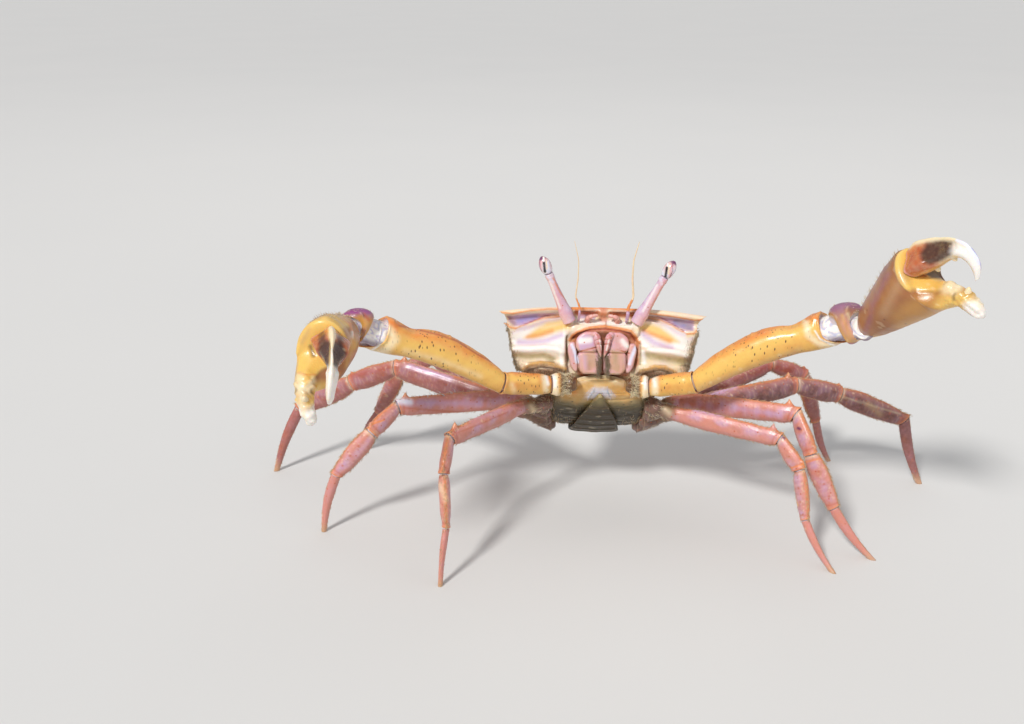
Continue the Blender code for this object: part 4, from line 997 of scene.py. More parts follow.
# underside
underside = {
    "sternum": ((5.7, 4.4, 10.6, 11.4), (7.0, 4.8, 10.6, 12.1), (8.2, 5.6, 10.7, 12.6), (9.7, 8.0, 10.8, 12.9),
                (12.0, 8.5, 10.9, 13.4), (15.5, 8.6, 11.1, 13.8), (19.0, 8.3, 11.2, 13.7),
                (21.2, 7.6, 11.2, 13.2), (22.4, 6.8, 11.2, 12.6)),
    "flap": ((8.5, 12.95, 0.35), (9.6, 13.25, 1.0), (12.0, 13.75, 2.0), (15.5, 14.15, 3.4),
             (19.0, 14.05, 4.2), (21.4, 13.55, 4.6),
             (23.0, 12.6, 4.8), (23.7, 10.6, 4.6)),
    "sutures": (8.9, 10.9, 13.4, 16.2, 18.9, 21.0),
    "segments": (11.3, 13.2, 15.1, 17.2, 19.3, 21.3, 23.1),
    "suture": (0.12, 0.16, 0.04), "segment": (0.14, 0.13, 0.08), "middle": 0.25, "uneven": 0.12, "ridge": 0.12,
    "droop": 0.075, "square": 2 / 5, "flapSquare": 2 / 3, "flapThick": 0.45,
}


undersideMarks = {
    "sternum": (
        ("cream", (576, 380, 598, 373, 628, 382), 5, 6, 0.8), ("ochre", (580, 385, 566, 396), 9, 8, 0.7),
        ("ochre", (622, 386, 640, 396), 9, 8, 0.7),
        # painted shade: the moss and umber bands make the sternum darker towards the bottom
        ("moss", (545, 400, 575, 412, 625, 412, 655, 400), 16, 14, 0.65),
        ("umber", (545, 416, 575, 426, 625, 426, 655, 416), 14, 12, 0.6),
        ("cream", (577, 383, 590, 378), 5, 5, 0.6), ("cream", (612, 380, 628, 386), 5, 5, 0.6),
        ("ochre", (584, 392, 576, 402), 6, 7, 0.5), ("ochre", (616, 394, 626, 402), 6, 7, 0.5),
        # painted shade: the moss and soot areas darken the lowest part
        ("moss", (548, 400, 575, 406, 600, 404, 628, 406, 658, 402, 664, 440, 540, 440), None, 10, 0.8),
        ("soot", (545, 404, 600, 409, 660, 406, 664, 440, 540, 440), None, 14, 0.92),
        ("orange", (568, 386, 574, 392), 6, 6, 0.5), ("orange", (628, 388, 636, 393), 6, 6, 0.5),
        ("moss", (588, 378, 600, 383, 612, 379), 3, 5, 0.6),
        ("ice", (588, 396, 594, 390, 600, 387, 606, 390, 612, 396), 4.5, 5, 0.85, 0.1),
    ),
    "abdomen": (
        # painted shade: the moss and soot areas make the abdomen darker towards the bottom
        ("moss", (570, 398, 630, 398, 640, 440, 560, 440), None, 12, 0.8),
        ("soot", (570, 406, 630, 406, 640, 440, 560, 440), None, 14, 0.92),
        ("olive", (600, 394, 600, 402), 5, 8, 0.5),
    ),
}


def makeUnderside():
    rows = underside["sternum"]
    back = np.linspace(rows[0][0], rows[-1][0], 130)
    half, top, bottom = smooth(rows, back).T
    turn = around(110)
    c, s = np.cos(turn), np.sin(turn)
    x = squarer(c, underside["square"]) * half[:, None]
    down = (top + bottom)[:, None] / 2 - squarer(s, underside["square"]) * (bottom - top)[:, None] / 2
    relief = np.zeros_like(x)
    deep, width, swell = underside["suture"]
    for at in underside["sutures"]:
        away = back[:, None] - at + 0.02 * x ** 2
        relief += swell * bell(away, 0.5, 0.4) - deep * bell(away, 0, width) * ease(1.0, 2.4, np.abs(x))
    relief -= underside["middle"] * bell(x, 0, 0.25) * (back[:, None] < 10)
    outer = ease(0.2, 1.0, -s)[None] * np.ones_like(x)
    relief += underside["uneven"] * waves(onBody(x, back[:, None], down), 2.4, 17)
    droop = underside["droop"] * x ** 2 * ease(9.7, 5.9, back)[:, None]
    tubePiece("sternum_skin", onBody(x, back[:, None] + droop, down), "sternum", "sternum",
              undersideMarks["sternum"], relief * outer,
              {"upper": ease(14.0, 8.0, back)[:, None] * np.ones_like(x), "speckled": outer})
    flap = np.array(underside["flap"])
    line = smooth(np.column_stack([np.arange(len(flap)), flap]), np.linspace(0, len(flap) - 1, 150))
    along = unit(np.gradient(line[:, :2], axis=0))
    out = np.stack([-along[:, 1], along[:, 0]], -1)
    x = squarer(c, underside["flapSquare"]) * line[:, 2:3]
    h = underside["flapThick"] * (1 + squarer(s, underside["flapSquare"])) * np.ones_like(x)
    place = onBody(x, line[:, :1] + out[:, :1] * h, line[:, 1:2] + out[:, 1:2] * h)
    deep, width, swell = underside["segment"]
    relief = underside["ridge"] * bell(x, 0, 1.1)
    for at in underside["segments"]:
        relief += swell * bell(line[:, :1], at + 0.45, 0.4) - deep * bell(line[:, :1], at, width)
    tubePiece("abdomen_skin", place, "abdomen", "abdomen", undersideMarks["abdomen"],
              relief * ease(0.1, 0.8, s)[None])


# mouthparts
mouth = {
    "tilt": (0.52, 0.854), "origin": (2.1, 4.9),
    "plates": {                   # rows of (along, inner x, outer x), then thickness and base
        "merus": (((-1.0, 1.5, 3.2), (-0.3, 1.1, 4.2), (1.0, 1.05, 4.75), (2.1, 1.0, 4.6), (2.72, 0.95, 4.1)),
                  1.0, -0.05),
        "ischium": (((2.66, 0.7, 4.1), (3.2, 0.35, 4.4), (4.6, 0.3, 4.35), (5.9, 0.35, 4.1), (6.6, 0.55, 3.4)),
                    1.05, -0.1),
        "strip": (((0.9, 4.95, 5.8), (2.0, 4.65, 6.15), (4.0, 4.45, 5.9), (5.6, 4.3, 5.4), (6.3, 4.4, 4.9)),
                  0.95, -0.35),
    },
    "rounding": 0.45, "edge": 0.25, "dome": 0.12, "rings": 60, "sides": 64,
    "palp": ((1.9, -0.35, 0.45), (1.3, -0.5, 1.05), (0.9, 0.3, 1.3), (0.72, 1.6, 1.35), (0.3, 3.4, 1.2)),
    "palpSizes": ((0.0, 0.55), (0.8, 0.62), (1.6, 0.6), (2.7, 0.5), (4.2, 0.12)),
    "palpJoints": (0.95, 1.9, 2.8), "palpJoint": (0.22, 0.09),
}
mouthMarks = {
    "right": (
        ("lilac", (577, 338, 586, 334.5, 595, 337, 595.5, 345.5, 580, 350.5), None, 3, 0.7),
        ("white", (581, 341, 590, 340), 6, 5, 0.9), ("pink", (594, 338, 595, 345), 2, 2, 0.7),
        ("tan", (581, 354, 595, 350, 597, 366, 581, 374), None, 4, 0.7),
        ("lilac", (584, 357, 586, 368), 4, 4, 0.5), ("rust", (579, 352, 596, 347.5), 1.2, 1.4, 0.85, -0.12),
        ("brown", (577.5, 352, 579, 372), 1.4, 1.6, 0.7, -0.1),
        ("ice", (572, 345, 575, 352, 577, 362), 3.2, 2.5, 0.9), ("umber", (600.5, 358, 601.5, 376), 3, 6, 0.7),
        ("brown", (588, 354, 589, 370), 0.8, 1.6, 0.5, -0.08), ("pink", (582, 356, 584, 372), 3, 4, 0.5),
        ("rose", (598.5, 336, 602, 352), 4, 2, 0.75), ("white", (599.5, 340, 602, 350), 1.6, 1.6, 0.8),
        ("red", (597, 343.5, 604, 342.5), 1.0, 1.0, 0.7),
    ),
    "left": (
        ("pink", (619, 337, 632, 342, 627.5, 352, 620.5, 349), None, 3, 0.6),
        ("white", (622, 341, 627, 346), 5, 4, 0.9),
        ("tan", (611, 349, 623, 353, 625, 376, 610, 369), None, 4, 0.7),
        ("olive", (615, 355, 618, 368), 4, 5, 0.4), ("rust", (619, 350, 629, 353.5), 1.2, 1.4, 0.85, -0.12),
        ("brown", (626, 353, 627, 368), 1.4, 1.6, 0.7, -0.1),
        ("ice", (636, 347, 632, 356, 629.5, 364), 3.2, 2.5, 0.9), ("umber", (606, 358, 605.5, 376), 3, 6, 0.7),
        ("pink", (621, 356, 621, 372), 3, 4, 0.5), ("rose", (609.5, 336, 606, 352), 4, 2, 0.75),
        ("white", (609, 340, 606.5, 350), 1.6, 1.6, 0.8), ("red", (604, 343.5, 611, 344), 1.0, 1.0, 0.7),
    ),
}


def onMouth(x, along, out):
    (c, s), (back, down) = mouth["tilt"], mouth["origin"]
    return onBody(x, back + c * along - s * out, down + s * along + c * out)


def plateRings(sign, outline, thick, base):   # a domed plate
    outline = np.array(outline, float)
    along = np.linspace(outline[0, 0], outline[-1, 0], mouth["rings"])
    inner, outer = smooth(outline, along).T
    turn = around(mouth["sides"])
    c, s = np.cos(turn), np.sin(turn)
    closing = np.clip(np.minimum(along - along[0], along[-1] - along) / mouth["rounding"], 0.0, 1.0)
    closing = (np.sqrt(1 - (1 - closing) ** 2) * 0.92 + 0.08)[:, None]
    middle, half = (inner + outer)[:, None] / 2, (outer - inner)[:, None] / 2
    x = middle + squarer(c, 0.45) * (half - mouth["edge"] * (1 - closing))
    out = base + thick / 2 + squarer(s, 0.8) * thick / 2 * closing \
        + mouth["dome"] * ease(0, 1, s) * closing * (1 - (x - middle) ** 2 / half ** 2)
    return onMouth(sign * x, along[:, None], out)


def makeMouth():
    depth, width = mouth["palpJoint"]
    for side, sign in bothSides:
        for part, plate in mouth["plates"].items():       # the first one stands for the solid
            tubePiece("maxilliped_%s_%s" % (part, side), plateRings(sign, *plate), "mouth",
                      "maxilliped_" + side if part == "merus" else None, mouthMarks[side])
        line, place = softLine([onMouth(sign * x, along, out) for x, along, out in mouth["palp"]], 0.05, 0.5)
        sizes = smooth(mouth["palpSizes"], place / place[-1] * mouth["palpSizes"][-1][0])
        for at in mouth["palpJoints"]:
            sizes = sizes * (1 - depth * bell(place, at, width))
        tubePiece("maxilliped_palp_" + side, roundTube(line, sizes, 24), "mouth", None,
                  mouthMarks[side])


# claw arms
armMarks = {
    "right": {
        "ischium": (
            ("umber", (502.5, 372, 500.5, 380, 503, 392), 1.2, 1.4, 0.8, -0.12),
            ("cream", (512, 384, 514, 391), 5, 5, 0.4), ("yellow", (510, 378, 535, 380), 7, 6, 0.8),
            ("cream", (544, 376, 546, 390), 5, 5, 0.9), ("white", (546, 376, 548, 384), 3, 3, 0.9),
        ),
        "coxa": (
            ("umber", (569, 370, 569, 396), 17, 4, 0.9), ("cream", (554, 370, 555, 396), 8, 3, 0.95),
            ("white", (553.5, 376, 554.5, 386), 4, 3, 0.9),
        ),
        "merus": (
            ("yellow", (500, 378, 470, 365, 430, 350, 400, 344, 385, 342), 14, 14, 0.8),
            ("cream", (388, 328, 395, 340, 386, 350, 372, 354), 8, 9, 0.9),
            ("cream", (480, 376, 440, 360, 405, 351), 4, 8, 0.45),
            ("rust", (506, 369.5, 476, 353.5, 457, 341, 441, 335.5, 414, 328.5, 398, 325.5), 1.6, 2.0, 0.9),
            ("orange", (396, 326, 388, 320, 380, 316.5), 4.5, 4, 0.95),
            ("white", (363, 354, 372, 350, 379, 345, 383, 337, 384, 330), 2.0, 1.6, 0.95, 0.1),
        ),
        "carpus": (
            ("ochre", (350, 325, 368, 322), 10, 7, 0.8),
            ("magenta", (342, 313, 352, 310.5, 368, 311), 6.5, 4, 0.95),
            ("purple", (343, 311, 352, 309), 3, 3, 0.5), ("cream", (354, 322, 358, 333), 2.2, 2.6, 0.75),
            ("rust", (364, 314, 369, 320), 3, 3, 0.7),
        ),
        "palm": (
            ("ochre", (345, 330, 352, 345, 345, 362), 10, 8, 0.8),
            ("yellow", (303, 378, 303, 348, 308, 334, 318, 322, 333, 318, 344, 322), 15, 5, 0.9),
            ("orange", (343, 318, 350, 324, 352, 334), 2.6, 2.2, 0.95, 0.1),
            ("white", (351.5, 333, 351.5, 337), 3, 2.2, 0.95, 0.1),
            ("cream", (300, 378, 301, 400, 308, 425), 7, 7, 0.7),
            ("orange", (298, 373, 305, 376, 315, 375), 1.2, 1.6, 0.6),
            ("white", (309, 414, 311, 429), 8, 6, 0.9), ("umber", (311, 346, 314, 356), 3.5, 3, 0.75, -0.2),
            ("tan", (302, 342, 310, 328), 3, 5, 0.5), ("bronze", (347, 330, 350, 345, 342, 364), 7, 5, 0.75),
        ),
        "dactyl": (
            # painted shade: the two umber stripes are the shaded flanks beside the dactyl's crest
            ("umber", (322, 334, 321, 362), 7, 4, 0.8), ("umber", (340, 334, 342, 356), 7, 4, 0.75),
            ("cream", (333, 322, 331, 360, 328, 398), 5.5, 3, 0.95), ("white", (331, 350, 329, 398), 4, 3, 0.9),
            ("yellow", (329, 330, 327, 370), 1.2, 1.6, 0.5),
        ),
    },
    "left": {
        "ischium": (
            ("umber", (697, 370, 694, 380, 696, 391), 1.2, 1.4, 0.8, -0.12),
            ("yellow", (664, 381, 690, 379), 8, 6, 0.8), ("cream", (655, 378, 655, 392), 7, 5, 0.9),
            ("white", (654, 379, 655, 386), 3, 3, 0.9),
        ),
        "coxa": (
            ("umber", (631.5, 372, 631.5, 398), 17, 4, 0.9), ("cream", (646.5, 372, 646, 398), 8, 3, 0.95),
            ("white", (646, 378, 646, 388), 4, 3, 0.9),
        ),
        "merus": (
            ("yellow", (700, 377, 735, 360, 780, 338, 812, 330), 15, 12, 0.85),
            ("tan", (700, 388, 745, 371, 800, 350), 5, 8, 0.5),
            ("cream", (806, 322, 808, 335, 820, 344, 845, 347), 6, 6, 0.85),
            ("orange", (807, 318, 815, 312), 5, 4, 0.9),
            ("orange", (735, 344, 770, 329, 800, 322), 1.8, 2.4, 0.7),
            ("white", (815, 331, 820, 339, 832, 344.5, 848, 348), 1.8, 1.6, 0.95, 0.1),
        ),
        "carpus": (
            ("pink", (845, 322, 852, 336), 7, 6, 0.6), ("mauve", (828, 309, 845, 303, 862, 304), 7, 5, 0.95),
            ("cream", (848, 314, 853, 328), 3, 4, 0.7), ("ochre", (842, 316, 847, 328, 851, 338), 4, 4, 0.6),
        ),
        "palm": (
            ("mauve", (866, 332, 873, 304, 888, 274), 5, 8, 0.5),
            ("tan", (884, 312, 894, 292, 906, 272), 9, 12, 0.55),
            ("ochre", (900, 318, 920, 304, 938, 292), 16, 16, 0.5),
            ("rust", (914, 275.5, 925, 277.5), 2.5, 2, 0.8),
            # painted shade: the umber patch on the palm's face below the upper ridge
            ("umber", (925, 275.5, 938, 268, 943.5, 280, 931, 279.5), None, 2, 0.85),
        ),
        "dactyl": (("blue", (972, 248, 980, 258, 981.5, 270), 1.4, 1.6, 0.7),),
    },
}


def section(bumps, turn):         # a ring's outline with its keels and flats
    return 1 + sum(height * hump(turn, at, width) for height, at, width in bumps)


def armShape(part):
    def raised(share, turn, length):
        lift = 0.02 * np.sin(share * length * 2.1 + 3 * np.sin(turn)) * np.ones_like(turn)
        for height, angle, wide, at, width in arms["knobs"].get(part, ()):
            lift = lift + height * (hump(turn, angle, wide) if angle else 1.0) * bell(share, at, width)
        if part in arms["thorns"]:
            height, angle, wide, at, half, power = arms["thorns"][part]
            point = np.clip(1 - np.abs(share - at) * length / half, 0, 1) ** power
            lift = lift + height * hump(turn, angle, wide) * point
        if part == "merus":
            height, angle, wide = arms["keel"]
            lift = lift + height * hump(turn, angle, wide) * ease(0.1, 0.2, share)
        return lift
    return lambda share, turn: section(arms["section"], turn), raised


def clawFrame(side, sign):
    forward, rise, roll, _ = arms["claws"][side]
    along = heading(sign, forward, rise)
    across = unit(np.cross(along, [0.0, 0.0, 1.0])) * sign
    up = np.cross(across, along) * sign
    turn = math.radians(roll)
    return along, up * math.cos(turn) + across * math.sin(turn), across * math.cos(turn) - up * math.sin(turn)


def coneRings(root, tip, radius, sides=16, count=14):
    t = np.sin(np.linspace(0, math.pi / 2, count))[:, None, None]
    axis = unit(tip - root)
    side = unit(np.cross(axis, [0.3, 0.2, 1.0]))
    up = np.cross(side, axis)
    turn = around(sides)[None, :, None]
    ring = side * np.cos(turn) + up * np.sin(turn)
    return root + (tip - root) * t + radius * np.sqrt(1.001 - t ** 2) * ring


def makeClaw(side, sign, wrist, startNormal):
    along, up, across = clawFrame(side, sign)
    stray = arms["claws"][side][3]

    def place(s, h, w):
        return wrist + s[..., None] * along + h[..., None] * up + w[..., None] * across

    turn = around(claws["sides"])
    c, s = np.cos(turn), np.sin(turn)
    for part, rows, look, slot in (("palm", palmRows, "palm", "palm"),
                                   ("dactyl", dactylRows, "finger", "claw_finger")):
        rows = np.array(rows)
        run = runAlong((rows[:, :2] + rows[:, 2:4]) / 2)
        at = np.linspace(0, run[-1], claws["rings"][part])
        low1, low2, top1, top2, thick, inward = smooth(np.column_stack([run, rows]), at).T
        middle = np.stack([low1 + top1, low2 + top2], -1) / 2
        half = np.stack([top1 - low1, top2 - low2], -1) / 2
        share = at[:, None] / run[-1]
        factor = section(claws[part], turn)
        if part == "palm":
            finger = ease(*claws["finger"], middle[:, :1])
            height, angle, width, often = claws["waist"]
            knobs = height * hump(turn, angle, width) * np.abs(np.sin(at[:, None] * often))
            factor = 1 + (factor - 1) * (1 - finger) + knobs * finger
            slim = 1.0
        else:                     # a blade, with a narrow crest and hollow flanks
            narrow, fuller = claws["blade"]
            slim = 1 - narrow * ease(-0.3, 0.8, s) * (1 - fuller * ease(0.5, 0.8, share))
        spots = np.stack([middle[:, :1] + half[:, :1] * s * factor, middle[:, 1:] + half[:, 1:] * s * factor],
                         -1)
        rings = place(spots[..., 0], spots[..., 1],
                      c * factor * slim * thick[:, None] / 2 * sign + inward[:, None] * stray)
        height, size = claws["grain"]
        lift = height * waves(rings, size, 9)
        if part == "palm":
            height, size = claws["knobbly"]
            lift = lift + height * finger * waves(rings, size, 12)
        rings = rings + unit(rings - rings.mean(1, keepdims=True)) * lift[..., None]
        normal = along
        if part == "palm":
            slide = ((wrist + along * halfGap - rings[0]) @ startNormal) / (along @ startNormal)
            reach = seams["skew"] * np.abs(slide).max() + seams["margin"]
            weight = np.clip(1 - at / reach, 0, 1) ** 2
            rings = rings + weight[:, None, None] * slide[None, :, None] * along
            normal = startNormal * np.sign(startNormal @ along)
        neck = neckOf(rings[0], normal)
        film = np.concatenate([ends["neckFilm"], np.zeros(len(at))])[:, None]
        speckled = np.concatenate([np.zeros(len(neck)), (1 - ease(0.5, 0.8, share[:, 0])) * (part == "palm")])
        name = "arm_%s_%s" % (side, part)
        own = np.concatenate([np.repeat(spots[:1], len(neck), axis=0), spots])
        tubePiece(name + "_skin", np.concatenate([neck, rings]), look, name, armMarks[side][part],
                  masks={"membrane": film, "speckled": speckled[:, None]}, own=(own, clawMarks[part]))
        for k, (root, tip, radius, off) in enumerate(clawTeeth[part]):
            root, tip = (place(np.array(a), np.array(b), np.array(off * stray)) for a, b in (root, tip))
            tubePiece("%s_tooth_%d" % (name, k + 1), coneRings(root, tip, radius), "finger",
                      masks={"wash": (linear("cream"), 0.8), "speckled": 0.0})


films = {
    "reach": (3.4, 1.4), "sides": 64, "swell": 2.2, "radius": (0.86, 0.1), "front": 0.32,
    "fold": (0.11, 1.6, 2.4, 5.0), "ripple": (2.0, 2.6), "shade": 0.9, "groove": 0.55,
}


def makeFilm(name, joint, before, after, size):   # the wrinkled white skin of a joint
    far, near = films["reach"]
    line, place = softLine([joint - before * far, joint - before * near, joint, joint + after * near,
                            joint + after * far], 0.1, 0.8)
    turn = around(films["sides"])
    c, s = np.cos(turn), np.sin(turn)
    axis = unit(np.gradient(line, axis=0))
    ahead = np.array([0.0, -1.0, 0.0])
    front = unit(ahead - axis * (axis @ ahead)[:, None])
    up = unit(np.array([0.0, 0.0, 1.0]) - axis * axis[:, 2:])
    swell = bell(place, place[-1] / 2, films["swell"])[:, None]
    base, more = films["radius"]
    radius = size * (base + more * swell) + films["front"] * swell * np.maximum(0, c) ** 2
    wide, long = films["ripple"]
    ripple = waves(line[:, None] + wide * np.stack([c, s, np.sin(2 * turn)], -1), long, 31)
    depth, often, slant, wander = films["fold"]
    fold = np.sin(place[:, None] * often + slant * s + wander * ripple)
    radius = radius + depth * fold * swell
    rings = line[:, None] + radius[..., None] * (front[:, None] * c[:, None] + up[:, None] * s[:, None])
    # painted shade: the lower side turns mauve, and blue lies in the troughs of the folds
    low = films["shade"] * ease(0.0, -0.5, s)[None, :, None]
    paint = np.array(linear("white")) * (1 - low) + np.array(linear("mauve")) * 0.45 * low
    groove = films["groove"] * ease(0.2, -0.9, fold)[..., None] * (1 - low)
    paint = paint * (1 - groove) + np.array(linear("blue")) * groove
    tubePiece(name, rings, "film", masks={"wash": (paint, 0.85)})


def makeArms():
    plain, dashed = arms["speckled"]
    for side, sign in bothSides:
        joints = jointsOf(sign, arms["root"], arms["poses"][side])
        beyond = joints + [joints[-1] + clawFrame(side, sign)[0]]
        planes = [np.array([sign, 0.0, 0.0])] + [mitre(*beyond[k - 1:k + 2]) for k in range(1, 5)]
        for k, part in enumerate(arms["parts"]):
            own = part + "_" + side
            line, place = softLine(joints[k:k + 2], arms["step"])
            share = place / place[-1]
            high, wide = smooth(arms["sizes"][part], share).T
            high = high * arms["low"].get(own, 1.0)
            axis = unit(joints[k + 1] - joints[k])
            upward = np.cross(unit(np.cross(axis, [0.0, 0.0, 1.0])), axis)
            line = line + upward * (arms["bows"][part] * np.sin(math.pi * share))[:, None]
            shape, raised = armShape(part)
            rings, place, _, film, length = limbRings(
                line, high, wide, sign, arms["sides"], planes[k], planes[k + 1], shape=shape, raised=raised,
                trims=arms["trims"].get(own, arms["trims"].get(part, (None, None))))
            if part == "coxa":        # felted where it leaves the body
                film[:10] = 0.0
            look = "carpus" if part == "carpus" else "arm"
            name = "arm_%s_%s" % (side, part)
            dashes = ease(0.25, 0.4, place / length) * ease(0.85, 0.7, place / length)
            tubePiece(name + "_skin", rings, look, name, armMarks[side][part],
                      masks={"membrane": film * 0.6, "speckled": (plain + dashed * dashes)[:, None]})
        runs = [unit(b - a) for a, b in zip(beyond, beyond[1:])]
        for k, joint in ((3, "elbow"), (4, "wrist")):
            makeFilm("arm_%s_film_%s" % (side, joint), joints[k], runs[k - 1], runs[k], arms["film"][joint])
        makeClaw(side, sign, joints[-1], planes[4])


# walking legs
legs = {
    "roots": ((9.0, 11.5, 13.6), (9.2, 15.0, 13.6), (8.9, 18.5, 13.4), (8.0, 21.7, 12.8)),
    "heights": (1.6, 1.8, 2.15, 1.75),
    "poses": {
        "left": (
            ((9, -15, 5.3), (30, -2, 19.6), (46, -46, 6.2), (68, -71, 8.8), 52, 9.8),
            ((-14, 16, 6.6), (30, 5, 22.2), (61, -54, 7.4), (30, -62, 10.4), 30, 11.0),
            ((-9, 12, 7.6), (-14, 7, 23.8), (-16, -17, 10.3), (4, -21, 14.0), 10, 14.2),
            ((-16, 17, 8.0), (-19, 18, 22.0), (-22, -24, 8.8), (-22, -68, 11.4), -30, 11.2)),
        "right": (
            ((8, -5, 5.2), (51, 1, 19.6), (78, -50, 6.2), (98, -71, 9.0), 72, 9.8),
            ((-18, 16, 6.5), (14, 1, 22.2), (46, -27, 7.0), (6, -50, 10.4), 16, 11.4),
            ((-13, 13, 7.6), (-19, 12, 24.0), (-16, -24, 10.3), (-18, -30, 14.0), 20, 14.2),
            ((-18, 22, 7.4), (-35, 14, 21.6), (-20, -30, 8.7), (-25, -61, 11.0), -20, 10.8)),
    },
    "base": ((0.0, 1.5, 1.45), (0.3, 1.6, 1.55), (0.48, 1.25, 1.2), (0.62, 1.45, 1.3), (0.9, 1.4, 1.15)),
    "merus": ((0.06, 0.84, 0.6), (0.2, 1.0, 0.62), (0.5, 1.02, 0.6), (0.8, 0.94, 0.58), (0.92, 0.9, 0.6),
              (1.0, 0.72, 0.52)),
    "carpus": ((0.0, 0.66, 0.5), (0.25, 0.8, 0.55), (0.7, 0.9, 0.6), (1.0, 0.74, 0.52)),
    "propodus": ((0.0, 0.66, 0.48), (0.18, 0.88, 0.6), (0.55, 0.88, 0.58), (0.88, 0.68, 0.48),
                 (1.0, 0.54, 0.4)),
    "dactyl": ((0.0, 0.5), (0.3, 0.5), (0.6, 0.4), (0.85, 0.3), (1.0, 0.26)),
    "section": ((0.05, 90, 16), (0.04, 270, 18), (-0.05, 45, 14), (-0.04, 318, 14)),
    "grain": 0.008, "uneven": 0.03, "saw": (0.14, 0.55), "thorn": (1.25, 13, 1.5, 0.75, 1.3),
    "knee": (0.5, 14, 0.9, 0.6), "step": 0.22, "sides": 48, "lip": 0.12, "depth": 0.75,
}
dactyls = {
    "facets": ((-0.07, 30, 12), (-0.07, 150, 12), (-0.05, 330, 12), (-0.05, 210, 12)),
    "rings": 70, "sides": 36, "bow": 0.5, "narrow": 0.72, "least": (0.42, 0.46), "margin": 0.3, "depth": 0.7,
    "film": (0.8, 0.8, 0.8, 0.7, 0.4, 0.1),
}


def legShape(part):
    def raised(share, turn, length):
        run = share * length
        lift = legs["grain"] * np.sin(run * 9.0 + 3 * np.sin(run * 1.1)) * hump(turn, 0, 50) \
            + legs["uneven"] * np.sin(run * 1.3 + 2 * np.sin(turn))
        if part == "merus":       # a fine saw along the upper edge, and the thorn near its end
            height, apart = legs["saw"]
            saw = np.clip(1 - np.abs((run / apart) % 1 - 0.35) * 3, 0, 1)
            lift = lift + height * hump(turn, 90, 9) * saw * ease(0.28, 0.36, share) * ease(0.97, 0.93, share)
            height, width, before, half, power = legs["thorn"]
            point = np.clip(1 - np.abs(run - (length - before)) / half, 0, 1) ** power
            lift = lift + height * hump(turn, 90, width) * point
        if part == "carpus":
            height, width, before, half = legs["knee"]
            point = np.clip(1 - np.abs(run - (length - before)) / half, 0, 1)
            lift = lift + height * hump(turn, 90, width) * point
        return lift
    return lambda share, turn: section(legs["section"], turn), raised


# the third and fourth legs' tones are darker partly as painted shade: russet, on the left third leg, is the
# darkest, and brick is darkened too
legTones = {"left": ("salmon", "salmon", "shadedRusset", "brick"), "right": ("salmon", "salmon", "brick", "brick")}
legMarks = {
    "left": (
        (
            ("cream", (665, 409, 669, 413), 4, 8, 0.6), ("purple", (782, 437, 784, 438), 3, 1.6, 0.9),
            ("orange", (786, 470, 798, 466, 808, 462), 1.6, 1.8, 0.9),
            ("rust", (790, 474, 800, 470), 4, 3, 0.7), ("yellow", (788, 478, 797, 505), 2.2, 2, 0.8),
            ("lilac", (696, 408, 722, 413), 8, 6, 0.9), ("lilac", (730, 412, 775, 426), 5, 6, 0.5),
        ),
        (
            ("purple", (798, 428, 800, 429), 3, 1.6, 0.9), ("orange", (806, 462, 822, 458), 1.6, 1.8, 0.9),
            ("lilac", (735, 408, 780, 415), 4, 5, 0.5),
        ),
        (
            # painted light and shade on the left third leg: the lilac band is a painted highlight on the lit
            # upper edge, the umber along the flank is painted shade, and the tan patch is a painted spot of
            # light
            ("lilac", (706, 397, 735, 386), 5, 6, 0.8), ("umber", (700, 408, 780, 396), 5, 7, 0.4),
            ("tan", (868, 404, 880, 414), 6, 6, 0.6), ("cream", (840, 396, 900, 414), 1.4, 2.4, 0.4),
        ),
        (("red", (762, 368, 815, 368), 6, 8, 0.4),),
    ),
    "right": (
        (
            ("cream", (531, 406, 534, 411), 4, 8, 0.6), ("rust", (508, 412, 480, 424, 452, 435), 1.4, 1.6, 0.5),
            ("red", (438, 478, 446, 474, 453, 467), 1.8, 1.8, 0.85), ("lilac", (500, 410, 470, 420), 4, 5, 0.5),
            ("cream", (440, 485, 446, 500), 5, 6, 0.5),
        ),
        (
            ("ice", (398, 401, 410, 402), 6, 5, 0.85), ("orange", (372, 424, 384, 420), 1.6, 1.8, 0.9),
            ("lilac", (420, 402, 480, 404), 5, 6, 0.6), ("rust", (404, 408, 480, 414), 1.6, 2.4, 0.6),
        ),
        (
            ("lilac", (410, 366, 450, 378), 5, 6, 0.7), ("red", (350, 376, 395, 366), 5, 7, 0.4),
            # painted highlight: the ice dot on the upper edge of the propodus
            ("ice", (318, 388, 324, 386), 3, 3, 0.6),
        ),
        # painted highlight: the lilac patch on the lit upper face of the merus
        (("lilac", (475, 380, 512, 396), 6, 6, 0.7),),
    ),
}


